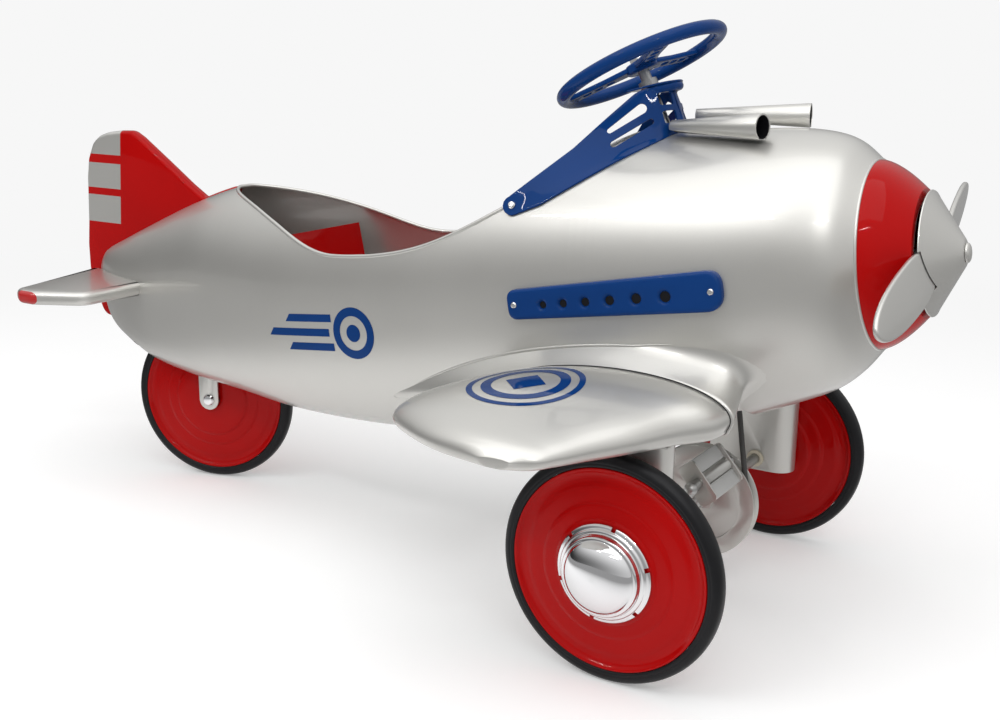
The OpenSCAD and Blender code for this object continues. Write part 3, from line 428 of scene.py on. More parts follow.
# %% The cockpit's edge
COCKPIT, COCKPIT_LOW = (290, 868), 29
RIM = [[0, 1], [0.1, 0.68], [0.19, 0.43], [0.33, 0.13], [0.44, 0.01], [0.59, 0], [0.66, 0.11], [0.78, 0.49],
       [0.87, 0.74], [1, 1.02]]


def rim_height(s):
    crown = section(s)[1]
    t = (s - COCKPIT[0]) / (COCKPIT[1] - COCKPIT[0])
    if not 0 < t < 1:
        return crown
    end = section(COCKPIT[0] if t < 0.5 else COCKPIT[1])[1]
    return min(crown, mix(COCKPIT_LOW, end, curve(RIM, 1, t)))


print("middle of the cockpit's edge", round(rim_height(sum(COCKPIT) / 2), 1), "mm")

# %% [markdown]
# The skin is a flat grid, moved onto the sections. It runs from one cockpit edge round the belly to the other; in
# front of and behind the cockpit both edges meet on the crown and are welded. Sections stand closer together
# where the edge turns quickly, which keeps it smooth with fewer points.

# %% The skin's points
AROUND, CLOSER, FRONT_CLOSER, REAR_CLOSER = 64, 8, 34, 40


def spaced(line, count):
    """Points at equal distances along a line."""
    lengths = [0]
    for a, b in zip(line, line[1:]):
        lengths.append(lengths[-1] + (b - a).length)
    found, k = [], 0
    for i in range(count + 1):
        want = lengths[-1] * i / count
        while k < len(line) - 2 and lengths[k + 1] < want:
            k += 1
        span = lengths[k + 1] - lengths[k]
        found.append(line[k].lerp(line[k + 1], min(1, (want - lengths[k]) / span) if span else 0))
    return found


def half_section(s, top_height, steps=160):
    """The left half of a section from a height down to the belly."""
    half, crown, belly, square = section(s)
    middle = (crown + belly) / 2
    deep = crown - middle
    start = asin(max(-1, min(1, (top_height - middle) / deep)))
    line = []
    for i in range(steps + 1):
        a = mix(start, -pi / 2, i / steps)
        n = 2 if a > 0 else square
        y = half * max(0, cos(a)) ** (2 / n)
        z = middle + deep * (abs(sin(a)) ** (2 / n)) * (1 if a > 0 else -1)
        line.append(Vector((-s, y, z)))
    return spaced(line, AROUND)


def stations(count=150):
    """Where the sections stand: closer together at both ends of the body and of the cockpit."""
    first = BODY[0][0]
    found = {LENGTH * (first + (1 - first) * (1 - cos(pi * i / count)) / 2) for i in range(count + 1)}
    for k in range(1, CLOSER + 1):
        share = (k / CLOSER) ** 2
        found |= {COCKPIT[0] + FRONT_CLOSER * share, COCKPIT[1] - REAR_CLOSER * share}
    return sorted(found | set(COCKPIT))


print(len(stations()), "sections")

# %% [markdown]
# On the toy the tail is closed, and the sheet's thickness shows at its edges. So the last section is closed by
# three smaller ones, and a Solidify modifier gives the skin its thickness. It goes inwards, which leaves the
# outside where the sections put it.

# %% Fuselage shell
TAIL_END = [(0.8, 2.0), (0.45, 3.4), (0.0, 4.0)]


def flipped(line):
    return [Vector((p.x, -p.y, p.z)) for p in line]


def full_row(line):
    return flipped(line) + line[-2::-1]


def draped(name, rows, place=HERE):
    """A flat grid, with its points moved onto rows of places in millimetres."""
    clear()
    bpy.ops.mesh.primitive_grid_add(x_subdivisions=len(rows[0]) - 1, y_subdivisions=len(rows) - 1, size=1)
    piece = bpy.context.object
    piece.name = piece.data.name = name
    assert len(piece.data.vertices) == len(rows) * len(rows[0]), "grid size"
    piece.data.vertices.foreach_set("co", [c * MM for row in rows for p in row for c in p])
    put(piece, place)
    weld(piece)
    return piece


def shrunk(row, share, step):
    """A row drawn in towards its middle and moved on by a step."""
    middle = sum(row, Vector()) / len(row)
    return [middle.lerp(p, share) + Vector(step) for p in row]


skin_rows = [full_row(half_section(s, rim_height(s))) for s in stations()]
skin_rows += [shrunk(skin_rows[-1], share, (-back, 0, 0)) for share, back in TAIL_END]
fuselage = draped("fuselage_skin", skin_rows, ON_BODY)
modify(fuselage, "SOLIDIFY", thickness=SHEET * MM, offset=-1)
print("skin rows", len(skin_rows), "of", len(skin_rows[0]))

# %% [markdown]
# Flat sheet pieces could be extruded from a filled face and bevelled. A flat curve does that in one go: it is
# filled, given depth and made a mesh, and its bevel also rounds the edge of each hole. The same helper makes
# cutters.

# %% Plates
def add_line(data, places, closed):
    spline = data.splines.new("POLY")
    spline.points.add(len(places) - 1)
    for point, place in zip(spline.points, places):
        point.co = (*place, 1)
    spline.use_cyclic_u = closed
    return spline


def as_mesh(name, data):
    piece = bpy.data.objects.new(name, data)
    bpy.context.collection.objects.link(piece)
    pick(piece)
    bpy.ops.object.convert(target="MESH")
    return bpy.context.object


def plate(name, outlines, thickness, rounding=0.0, place=HERE, smooth=3):
    """A flat piece from outlines in millimetres; inner outlines are holes."""
    data = bpy.data.curves.new(name, "CURVE")
    data.dimensions, data.fill_mode = "2D", "BOTH"
    for outline in outlines:
        add_line(data, [(x * MM, y * MM, 0) for x, y in outline], True)
    data.extrude = (thickness / 2 - rounding) * MM
    data.bevel_depth, data.bevel_resolution, data.offset = rounding * MM, smooth, -rounding * MM
    piece = as_mesh(name, data)
    put(piece, place)
    weld(piece)
    return piece


print("plates ready")

# %% [markdown]
# The outlines of pressed pieces have arcs and rounded corners. They are worked out as points in millimetres. Each
# corner is replaced by a short curve that leans towards it, because that copes with any angle.

# %% Outlines
def bowed(a, b, c, t):
    """A place on the curve from a to c that leans towards b."""
    return a * (1 - t) ** 2 + b * 2 * t * (1 - t) + c * t * t


def arc(x, y, r, start=0, end=360, steps=32):
    angles = [radians(mix(start, end, i / steps)) for i in range(steps + (abs(end - start) < 360))]
    return [(x + r * cos(a), y + r * sin(a)) for a in angles]


def rounded(points, r, steps=6):
    """An outline with its corners rounded; r is one radius or one for each corner."""
    found = []
    for i, p in enumerate(points):
        a, b, c = Vector(points[i - 1]), Vector(p), Vector(points[(i + 1) % len(points)])
        radius = r[i] if isinstance(r, (list, tuple)) else r
        turn = (a - b).angle(c - b)
        reach = radius / max(1e-6, sin(turn / 2) / cos(turn / 2))
        reach = min(reach, 0.49 * (a - b).length, 0.49 * (c - b).length)
        p0, p1 = b + (a - b).normalized() * reach, b + (c - b).normalized() * reach
        found += [tuple(bowed(p0, b, p1, k / steps)) for k in range(steps + 1)]
    return found


print("points in a circle", len(arc(0, 0, 1)))

# %% [markdown]
# The belly is open under the pedals and round the tail wheel, and the crown has a hole for the steering column.
# Leaving faces out of the grid would follow its rows. A Boolean modifier cuts each opening along its own outline
# instead.

# %% Openings in the shell
PEDAL_HOLE = rounded([(-500, -95), (-172, -95), (-172, 95), (-500, 95)], 40)
WELL_HOLE = rounded([(-868, -54), (-868, 54), (-1078, 39), (-1078, -39)], [40, 40, 8, 8])
HOLE_LOW, PEDAL_HIGH, WELL_HIGH = -380, -95, -57
COLUMN_HOLE, COLUMN_CUT, COLUMN_CUT_AT = 7.5, 100, -80
for outline, high in ((PEDAL_HOLE, PEDAL_HIGH), (WELL_HOLE, WELL_HIGH)):
    middle = ON_BODY @ raised((HOLE_LOW + high) / 2)
    cut(fuselage, plate("opening", [outline], high - HOLE_LOW, 0.0, middle))
cut(fuselage, plate("column_hole", [arc(0, 0, COLUMN_HOLE)], COLUMN_CUT, 0.0, ON_COLUMN @ raised(COLUMN_CUT_AT)))
dress(fuselage, "fuselage_shell")

# %% [markdown]
# The cockpit's edge is rolled over a wire, so that no sharp sheet is left, and the nose has a bead behind the red
# cowl. A bevel on thin sheet can't be so round. A curve with a round bevel follows each line and is made a mesh.

# %% Rolled edges
WIRE_R, WIRE_IN, WIRE_STEPS, RIM_LEAST = 2.4, 0.9, 260, 0.05
BEAD_R, BEAD_BACK, BEAD_STEPS = 1.7, 1.2, 128


def tube(name, points, radius, closed=False, around=4, taper=False):
    data = bpy.data.curves.new(name, "CURVE")
    data.dimensions, data.bevel_depth, data.bevel_resolution = "3D", radius * MM, around
    data.use_fill_caps = not closed
    spline = add_line(data, [Vector(p) * MM for p in points], closed)
    for i, point in enumerate(spline.points):
        point.radius = sqrt(sin(pi * (i + 0.3) / (len(points) - 0.4))) if taper else 1
    piece = as_mesh(name, data)
    weld(piece)
    return piece


inside = [s for s in stations() if COCKPIT[0] <= s <= COCKPIT[1] and rim_height(s) < section(s)[1] - RIM_LEAST]
edge = [on_skin(s, rim_height(s), -WIRE_IN) for s in inside]
rim_line = spaced(edge + flipped(edge)[::-1] + edge[:1], WIRE_STEPS)[:-1]
dress(tube("cockpit_rim", rim_line, WIRE_R, True))
bead_s, nose_r = BODY[0][0] * LENGTH + BEAD_BACK, BODY[0][1] * HALF_WIDTH
around = [2 * pi * i / BEAD_STEPS for i in range(BEAD_STEPS)]
dress(tube("nose_bead", [from_body(bead_s, nose_r * cos(a), nose_r * sin(a)) for a in around], BEAD_R, True))

# %% [markdown]
# Wings and the fairings at their roots have one kind of section: a crowned top, two rounded lower corners and a
# flat underside. One function draws it, so that both have the same number of points and meet. The fairing's
# sections grow towards the body.

# %% Wing and fairing sections
WING_ROOT, WING_BOTTOM, WING_NOSE, WING_CHORD, WING_RISE = 148, 238, 433, 268, 44
FAIRING_RISE, FAIRING_TAIL, FAIRING_DROP, EDGE, NOSE_EDGE = 98, 415, 35, 7, 1.4
FAIRING_NOSE, FAIRING_LEAN, ROOT_LONGER, ROOT_HIGHER = (-34, 3), (70, 32), 6, 4
FAIRING_IN, TAIL_EASE, RISE_EASE = 0.88 * HALF_WIDTH, 0.85, 0.8
ARC_STEPS, CORNER_STEPS, BELLY_STEPS = 56, 6, 24


def wing_ring(y, tail, nose, rise, lean, drop=0.0, grow=0.0):
    """A closed wing section in millimetres."""
    line = []
    for i in range(ARC_STEPS + 1):
        a = pi * i / ARC_STEPS
        u = (1 - cos(a)) / 2
        line.append(Vector((mix(tail - grow, nose + grow, u) + lean * sin(a), y,
                            WING_BOTTOM + EDGE - drop * (1 - u) + (rise - EDGE + grow) * sin(a))))
    front, back = nose + grow - NOSE_EDGE * EDGE, tail - grow + EDGE
    for i in range(1, CORNER_STEPS + 1):
        b = pi / 2 * i / CORNER_STEPS
        line.append(Vector((front + NOSE_EDGE * EDGE * cos(b), y, WING_BOTTOM + EDGE - (EDGE + grow) * sin(b))))
    for i in range(1, BELLY_STEPS + 1):
        t = i / BELLY_STEPS
        line.append(Vector((mix(front, back, t), y, WING_BOTTOM - grow - drop * t)))
    for i in range(1, CORNER_STEPS + 1):
        b = pi / 2 * (1 - i / CORNER_STEPS)
        line.append(Vector((back - EDGE * cos(b), y, WING_BOTTOM - drop + EDGE - (EDGE + grow) * sin(b))))
    return line


def fairing_ring(y, grow=0.0):
    t = max(0.0, (y - FAIRING_IN) / (WING_ROOT - FAIRING_IN))
    tail = WING_NOSE - mix(FAIRING_TAIL, WING_CHORD + ROOT_LONGER, t ** TAIL_EASE)
    nose = WING_NOSE + mix(*FAIRING_NOSE, sqrt(t))
    rise = mix(FAIRING_RISE, WING_RISE + ROOT_HIGHER, t ** RISE_EASE)
    return wing_ring(y, tail, nose, rise, mix(*FAIRING_LEAN, t), FAIRING_DROP * (1 - t), grow)


print("points in a wing section", len(fairing_ring(WING_ROOT)))

# %% [markdown]
# Where a wing joins, the body swells into a fairing. A Boolean union would leave a hard line, so lines run from
# the skin out to the wing's root. Each starts on the skin, at a place that halving the distance finds. Towards
# the front a line leaves the skin just ahead of the root and flares out low down.

# %% Lines of the fairing
FAIRING_START, FAIRING_END, HALVINGS, SUNK = 0.65 * HALF_WIDTH, WING_ROOT - 2, 24, 0.6
STRIPS, EASE, BEND, TUCK = 26, 1.15, (0.6, 0.3, 0.75), 0.4
AHEAD, BEHIND, FLARE, NEAR_END, NEAR_OVER = 8, 22, 26, 1.1, 0.35
BAND_START, BAND_IN, BAND_END, BAND_OUT = 0.5, 0.32, 1.03, 0.2


def clamp(t):
    return max(0, min(1, t))


def outside(p):
    s, y, z = to_body(p)
    return y > skin(s, z) - SUNK


def fairing_line(k):
    low, high = FAIRING_START, FAIRING_END
    for _ in range(HALVINGS):
        half = (low + high) / 2
        low, high = (low, half) if outside(fairing_ring(half)[k]) else (half, high)
    return low


def blended(k, start):
    """One line of the fairing, drawn ahead of the wing's root within a band near the front."""
    shares = [(j / STRIPS) ** EASE for j in range(STRIPS + 1)]
    line = [fairing_ring(mix(start, FAIRING_END, t))[k] for t in shares]
    w = clamp(min((k / ARC_STEPS - BAND_START) / BAND_IN, (BAND_END - k / ARC_STEPS) / BAND_OUT))
    w = w * w * (3 - 2 * w)
    near = clamp((NEAR_END - k / ARC_STEPS) / NEAR_OVER)
    last, (s, _, z), (root_s, _, root_z) = line[-1], to_body(line[0]), to_body(line[-1])
    first = on_skin(mix(s, root_s + mix(BEHIND, -AHEAD, near), w), mix(z, root_z + FLARE * near, w), -TUCK)
    bend = Vector([mix(a, b, share) for a, b, share in zip(first, last, BEND)])
    return [p.lerp(bowed(first, bend, last, t), w) for p, t in zip(line, shares)]


print("the first line leaves the skin", round(fairing_line(0), 1), "mm from the middle")

# %% [markdown]
# On the toy the front of the fairing runs softly into the body, in a hollow curve. A bevel can't make that
# between two skins. So the first points of each line are moved onto such a curve, more so towards the front.

# %% Hollow front of the fairing
SOFT_START, SOFT_IN, SOFT_END, SOFT_OUT, SOFT_STRIPS = 30, 12, ARC_STEPS + 3, 5, 10
SOFT_AHEAD, AHEAD_START, AHEAD_OVER = 22, 42, 10


def filleted(k, line):
    """A line of the fairing that leaves the skin in a hollow curve, softer towards the front."""
    w = clamp((k - SOFT_START) / SOFT_IN) * clamp((SOFT_END - k) / SOFT_OUT)
    root, knee = line[0], line[SOFT_STRIPS]
    s, _, z = to_body(root)
    along, up = skin(s + 0.5, z) - skin(s - 0.5, z), skin(s, z + 0.5) - skin(s, z - 0.5)
    normal = (from_body(-along, 1, -up) - from_body(0, 0, 0)).normalized()
    back = root - knee
    back -= normal * back.dot(normal)
    s, _, z = to_body(root + back.normalized() * (knee - root).length)
    foot = on_skin(s - SOFT_AHEAD * clamp((k - AHEAD_START) / AHEAD_OVER), z, -TUCK)
    hollow = [bowed(foot, root, knee, j / SOFT_STRIPS) for j in range(SOFT_STRIPS)]
    return [p.lerp(q, w) for p, q in zip(line, hollow)] + line[SOFT_STRIPS:]


lines = [filleted(k, blended(k, fairing_line(k))) for k in range(len(fairing_ring(WING_ROOT)))]
print(len(lines), "lines of", len(lines[0]), "points")

# %% [markdown]
# At the wing's root the fairing's edge is turned in, so that a dark seam shows. A low crest marks the upper line
# where it leaves the body. The lines become the rows of a grid, and the right side uses the mirrored points; the
# weld helper turns its faces outwards again.

# %% Wing-root fairings
ROOT_TURN = [(1, -0.4), (0.3, -1.4), (0.3, -4.0)]
CREST, CREST_R = slice(1, 38), 1.8


def both(rows):
    return (("left", rows), ("right", [flipped(row) for row in rows]))


fairing_rows = [list(row) for row in zip(*lines)]
fairing_rows += [fairing_ring(WING_ROOT - inset, grow) for inset, grow in ROOT_TURN]
for side, rows in both(fairing_rows):
    dress(draped(side + "_fairing", rows), sharp=radians(50))
    dress(tube(side + "_crest", rows[0][CREST], CREST_R, taper=True))

# %% [markdown]
# A wing is a hollow pressing with a round tip. A subdivided box would come out too soft, so a smooth curve runs
# through eight sections. The last rows are packed closely, which makes the tip round, and both ends are closed. A
# thin black strip of painted shade lies in the seam at the fairing, where the gap is in shadow.

# %% Wings
HALF_SPAN, WING_STEPS, WING_OVER, WING_LEAN = 341, 44, 6, (28, 4)
WING = [[0, 1, 0, 1], [0.12, 1.05, 0.02, 0.99], [0.27, 1.085, 0.095, 0.94], [0.5, 1.115, 0.18, 0.82],
        [0.71, 1.065, 0.27, 0.66], [0.86, 0.91, 0.33, 0.48], [0.95, 0.755, 0.375, 0.31], [1, 0.57, 0.45, 0.08]]
WING_TURN, WING_TIP = [(-4.0, 0.4), (-1.2, 0.4), (-0.4, 1.0)], [(0.8, 0.1), (0.0, 0.15)]
SEAM_GROW, SEAM_OUT, SEAM_FIRST, SEAM_R = -0.5, 0.2, 5, 1.0


def wing_row(share, grow=0.0, shift=0.0):
    tail, nose, rise = (curve(WING, c, share) for c in (1, 2, 3))
    return wing_ring(mix(WING_ROOT, HALF_SPAN, share) + shift, WING_NOSE - WING_CHORD * tail,
                     WING_NOSE - WING_CHORD * nose, WING_RISE * rise + WING_OVER, mix(*WING_LEAN, share), 0.0, grow)


wing_rows = [wing_row(0, grow, shift) for grow, shift in WING_TURN]
wing_rows += [wing_row(sin(pi / 2 * j / WING_STEPS)) for j in range(1, WING_STEPS + 1)]
wing_rows += [shrunk(wing_rows[-1], share, (0, out, 0)) for share, out in WING_TIP]
wing_rows.insert(0, shrunk(wing_rows[0], 0.0, (0, 0, 0)))
for side, rows in both(wing_rows):
    dress(draped(side + "_wing_skin", rows), side + "_wing", sharp=radians(60))
# A black tube of painted shade: it stands for the shadow in the gap at the wing's root.
for side, (line,) in both([wing_row(0, SEAM_GROW, SEAM_OUT)[SEAM_FIRST:ARC_STEPS + CORNER_STEPS]]):
    dress(tube(side + "_seam", line, SEAM_R, taper=True), slot="tyre")

# %% [markdown]
# The marks are thin blue transfers in a plain pattern: a ring that trails three bars on the sides, and two rings
# round a diamond on the wings. A picture would need a file of its own. So each mark is a few small grids, laid a
# fraction of a millimetre above the curved paint and given the thickness of a film.

# %% Transfers
SIDE_S, SIDE_Z, WING_X, WING_Y, LIFT, FILM = 652, -58, 258, 222, 0.25, 0.1
RING_AT, BAR_HALF, BAR_SLANT, BAR_STEPS, DIAMOND, DIAMOND_HALF = 46, 4.5, 0.8, 24, 22, 8


def on_side(u, v):
    return on_skin(SIDE_S - u, SIDE_Z + v, LIFT)


def on_wing(u, v):
    x, y = WING_X + u, WING_Y + v
    line = wing_row((y - WING_ROOT) / (HALF_SPAN - WING_ROOT))[:ARC_STEPS + 1]
    a, b = next((a, b) for a, b in zip(line, line[1:]) if a.x <= x <= b.x)
    return Vector((x, y, mix(a.z, b.z, (x - a.x) / (b.x - a.x)) + LIFT))


def ring(place, middle, radii, corners=72):
    turn = [2 * pi * i / corners for i in range(corners + 1)]
    return [[place(middle + r * cos(a), r * sin(a)) for a in turn] for r in radii]


def bar(left, right, height):
    rows = [mix(-BAR_HALF, BAR_HALF, j / 4) for j in range(5)]
    return [[on_side(mix(left + BAR_SLANT * v, right, i / BAR_STEPS), height + v) for i in range(BAR_STEPS + 1)]
            for v in rows]


steps = range(-DIAMOND_HALF, DIAMOND_HALF + 1)
diamond = [[on_wing(DIAMOND * (i + j) / 16, DIAMOND * (i - j) / 16) for i in steps] for j in steps]
side_mark = [ring(on_side, RING_AT, (20, 25, 30)), ring(on_side, RING_AT, (0.01, 5, 10)), bar(-56, 14, 17),
             bar(-86, 9, 0), bar(-56, 14, -17)]
wing_mark = [ring(on_wing, 0, (51, 53, 55, 57)), ring(on_wing, 0, (33, 36, 39, 43)), diamond]
for number, side in enumerate(("left", "right")):
    for name, grids in (("_side_mark", side_mark), ("_wing_mark", wing_mark)):
        mark = joined(side + name, *[draped("mark", both(rows)[number][1]) for rows in grids])
        modify(mark, "SOLIDIFY", thickness=FILM * MM, offset=0)
        dress(mark, slot="blue_paint")

# %% [markdown]
# The stabilizers are flat pressings with round edges. A box would have to be rounded by hand. A plate with a deep
# bevel has just that form, and one outline serves both sides.

# %% Stabilizers
TAIL_Z, TAIL_THICK, TAIL_ROUND, TAIL_NOSE, TAIL_CHORD, TAIL_TIP = 257, 18, 7.5, -445, 118, 184
TAIL_REAR = TAIL_NOSE - TAIL_CHORD
tail_plan = rounded([(TAIL_NOSE, 6), (TAIL_NOSE, TAIL_TIP - 34), (TAIL_NOSE - 66, TAIL_TIP),
                     (TAIL_REAR + 30, TAIL_TIP), (TAIL_REAR + 14, TAIL_TIP - 10), (TAIL_REAR - 22, 10)],
                    [2, 26, 16, 10, 12, 2])
for side, way in (("left", 1), ("right", -1)):
    plan = [(x, way * y) for x, y in tail_plan]
    piece = plate(side + "_tailplane", [plan], TAIL_THICK, TAIL_ROUND, raised(TAIL_Z + TAIL_THICK / 2), 5)
    dress(piece, side + "_stabilizer", finish=tail_paint)

# %% [markdown]
# The fin is a flat pressing too, but stands upright, and its foot follows the body's crown. Its outline is
# measured from its top and its trailing edge, and the foot is taken from the body's sections, so that no gap
# shows. The plate is then turned upright.

# %% Fin
FIN_TAIL, FIN_TOP, FIN_THICK, FIN_ROUND, FIN_CORNER = -605, 472, 16, 6.0, 22
FIN_FOOT, FIN_SUNK, SPINE_STEPS, SPINE_BACK, SPINE_LIFT = 934.2, 12, 6, 6, 2
FIN = [[75, 267], [30, 267], [22, 260], [4, 222], [0, 199], [0, 165], [4, 131], [8, 69], [13, 42], [25, 19],
       [40, 9], [57, 4], [80, 1], [104, 0], [120, 8], [165, 37], [209, 66]]
spine = [over_crown(mix(FIN_FOOT, COCKPIT[1] + SPINE_BACK, i / SPINE_STEPS), 0, SPINE_LIFT)
         for i in range(SPINE_STEPS + 1)]
fin_line = [(FIN_TAIL + x, FIN_TOP - z) for x, z in FIN] + [(p.x, p.z) for p in spine]
fin_line.append((spine[-1].x, spine[-1].z - FIN_SUNK))
fin = plate("fin", [rounded(fin_line, FIN_CORNER, 4)], FIN_THICK, FIN_ROUND, turned(pi / 2, "X"), 5)
dress(fin, "tail_fin", slot="red_paint", finish=fin_paint)

# %% [markdown]
# Nose and wheels are round. A lathe is copied for them: one point is extruded along a half section and spun about
# an axis, which gives any profile, where a cylinder gives only one. The corners of a half section can be eased
# first, because pressed sheet has none that are sharp.

# %% Turned pieces
def spun(name, profile, place=HERE, steps=96):
    """One point, extruded along a half section of (radius, height), and spun about Z."""
    clear()
    bpy.ops.mesh.primitive_plane_add(size=0.01)
    piece = bpy.context.object
    piece.name = piece.data.name = name
    edit(piece)
    bpy.ops.mesh.merge(type="COLLAPSE")
    points = [Vector((r, 0, h)) * MM for r, h in profile]
    bpy.ops.transform.translate(value=points[0])
    for a, b in zip(points, points[1:]):
        bpy.ops.mesh.extrude_vertices_move(TRANSFORM_OT_translate={"value": b - a})
    bpy.ops.mesh.select_all(action="SELECT")
    bpy.ops.mesh.spin(steps=steps, angle=2 * pi, center=(0, 0, 0), axis=(0, 0, 1))
    put(piece, place)
    weld(piece, 2e-6)
    return piece


def eased(points, rounds=1, closed=False):
    """A line with its corners cut, which rounds it."""
    for _ in range(rounds):
        pairs = list(zip(points, points[1:] + points[:1] if closed else points[1:]))
        new = [] if closed else [points[0]]
        for (ax, ay), (bx, by) in pairs:
            new += [(mix(ax, bx, 0.25), mix(ay, by, 0.25)), (mix(ax, bx, 0.75), mix(ay, by, 0.75))]
        points = new if closed else new + [points[-1]]
    return points


print("an eased corner", eased([(0, 0), (1, 0), (1, 1)]))

# %% [markdown]
# Behind the spinner sits the red cowl, a short tapering ring with a turned-in lip, and in front of it a small end
# cap. A cut cone would lack the cowl's slight bulge, so both are spun about the propeller's shaft.

# %% Cowl and end cap
def on_shaft(s=0.0):
    return ON_BODY @ Matrix.Translation((-s * MM, 0, 0)) @ turned(pi / 2, "Y")


COWL_REAR, COWL_LONG, COWL_FRONT_R, COWL_STEPS = 46.0, 41.0, 61.5, 12
outer = [(mix(nose_r, COWL_FRONT_R, (i / COWL_STEPS) ** 1.5), COWL_LONG * i / COWL_STEPS)
         for i in range(COWL_STEPS + 1)]
lip = [outer[-1]] + [(COWL_FRONT_R - inset, COWL_LONG + rise)
                     for inset, rise in ((3, 0.2), (12, 0), (12, -1.5), (3, -2))]
inner = [(r - 2, h - 1.2) for r, h in outer[-2:0:-1]] + [(nose_r - 2, 0), (nose_r, 0)]
cowl = spun("cowl_ring", outer[:-1] + eased(lip, 2) + inner, on_shaft(COWL_REAR))
dress(cowl, "nose_cowl", slot="red_paint")
CAP = [(0, 30.3), (9.2, 30.3), (9.6, 30.8), (9.5, 31.8), (8.8, 32.8), (7.0, 33.8), (4.0, 34.5), (0, 34.75)]
stud = spun("spinner_stud", CAP, on_shaft(), 48)
dress(stud, "spinner_cap", slot="chrome", body="propeller_set", finish=silver)

# %% [markdown]
# The propeller is a flat two-bladed sheet, twisted and swept a little, that comes out of a flat silver cone. A
# blade is a plate with a rounded edge. A slightly larger blade cuts the cone, so that each blade passes through a
# notch with a little room.

# %% Propeller and spinner
PROP_R, PROP_HUB, BLADE_W, BLADE_T, BLADE_ROUND, PROP_AHEAD = 186, 20, 48, 5, 2.2, 6
BLADE_TURN, BLADE_TWIST, BLADE_SWEEP, WAIST, WIDEST = radians(13), radians(11), radians(-4), 0.34, 0.38
BLADE_STEPS, NOTCH = 40, 0.9
HUB = [(5.1, -7), (19, -7), (20, -6), (20, 6), (19, 7), (5.1, 7), (5.1, -7)]
CONE = [(60, 0), (59.6, 1.0), (57.5, 1.9), (13.6, 29.2), (11.8, 30), (5.1, 30), (5.1, 24), (14.0, 24),
        (56.5, 0.6), (57.6, 0), (60, 0)]


def blade_half(t):
    waist = mix(WAIST, 1, sin(min(1, t / WIDEST) * pi / 2)) * BLADE_W / 2
    return waist * (1 if t < WIDEST else sqrt(max(0, 1 - ((t - WIDEST) / (1 - WIDEST)) ** 2.6)))


def blade(name, turn, grow=0.0):
    long = PROP_R - PROP_HUB / 2
    shares = [1 - (1 - i / BLADE_STEPS) ** 1.6 for i in range(BLADE_STEPS + 1)]
    side = [(blade_half(t) + grow, long * t) for t in shares]
    place = on_shaft(-PROP_AHEAD) @ turned(BLADE_TURN + turn)
    place = place @ Matrix.Translation((0, PROP_HUB / 2 * MM, 0))
    place = place @ turned(BLADE_TWIST, "Y") @ turned(BLADE_SWEEP, "X")
    outline = side[:-1] + [(0, long)] + [(-x, y) for x, y in side[-2::-1]]
    return plate(name, [outline], BLADE_T + 2 * grow, 0.0 if grow else BLADE_ROUND, place, 4)


hub = spun("hub", HUB, on_shaft(-PROP_AHEAD), 48)
propeller = joined("propeller_blades", blade("near", 0), blade("far", pi), hub)
dress(propeller, "propeller", body="propeller_set")
spinner = spun("spinner_cone", CONE, on_shaft(), 128)
for turn in (0, pi):
    cut(spinner, blade("notch", turn, NOTCH))
dress(spinner, "spinner", body="propeller_set")

# %% [markdown]
# All three wheels are the same pressing: a red disc with concentric steps and a flare at the rim. Stacked
# cylinders would show sharp joints. So the half section is drawn once, in steps out from the hub cap and in from
# the rim, and its corners are eased.

# %% Wheel section
RIM_R, TYRE_W, HUB_HALF, HUB_R, CAP_R, WEB = 102, 20.6, 14, 13, 49, 1.5
CAP_STEPS = [(-3, 0), (2, 0.8), (4, 2.6), (6, 2.9), (17, 3.9), (19, 5.2), (21, 5.4)]
RIM_STEPS = [(18, 6.3), (15, 7.6), (8, 8.1), (5.5, 6.4)]
FLANGE = [(4, 1.2), (1.8, 0.5), (1, 2)]
face = [(HUB_R, HUB_HALF)] + [(CAP_R + out, HUB_HALF - deep) for out, deep in CAP_STEPS]
face += [(RIM_R - inset, HUB_HALF - deep) for inset, deep in RIM_STEPS]
face += [(RIM_R - inset, TYRE_W / 2 - deep) for inset, deep in FLANGE]


def disc(bore):
    flip = [(r, -h) for r, h in face[::-1]]
    back = [(r - (WEB if r > RIM_R - 6 else 0), h - WEB) for r, h in face]
    inner = [(r, -h) for r, h in back] + back[::-1]
    sleeve = [(bore + 4, HUB_HALF - WEB), (bore + 4, -HUB_HALF), (bore, -HUB_HALF), (bore, HUB_HALF)]
    line = eased(face + flip + inner + sleeve, 1, True)
    return line + line[:1]


print("points in a wheel's section", len(disc(HUB_R)))

# %% [markdown]
# Each disc is spun on its axle, with a black rubber tyre round it that has its own half section. The right wheel
# is keyed to the crank and moves with it, and the left one turns alone. The tail wheel stands turned, as the
# steering does at rest.

# %% Wheels and tyres
WHEEL_R, FRONT_X, TAIL_X, HALF_TRACK = 114, 353, -371, 220
AXLE_R, BOLT_R, STEER_REST = 6.06, 4.06, radians(17)


def axle(x, y, turn=0.0):
    return Matrix.Translation((x * MM, y * MM, WHEEL_R * MM)) @ turned(turn) @ turned(-pi / 2, "X")


tread = [(RIM_R - 0.7, 9.1), (RIM_R + 0.6, 10.1), (RIM_R + 2, 10.25), (RIM_R + 3, 9.9), (RIM_R + 4, 10.2),
         (107, 10.2), (110.2, 9.1), (112.6, 6.8), (113.8, 3.4), (WHEEL_R, 0)]
tread += [(r, -h) for r, h in tread[-2::-1]]
tread = eased(tread, 1) + [tread[0]]
WHEELS = [("right", "crank", axle(FRONT_X, -HALF_TRACK), AXLE_R),
          ("left", "left_front_wheel", axle(FRONT_X, HALF_TRACK), AXLE_R),
          ("rear", "tail_wheel", axle(TAIL_X, 0, STEER_REST), BOLT_R)]
for name, body, place, bore in WHEELS:
    dress(spun(name + "_disc", disc(bore), place, 128), name + "_wheel", slot="red_paint", body=body)
    dress(spun(name + "_rubber", tread, place, 128), name + "_tyre", slot="tyre", body=body)

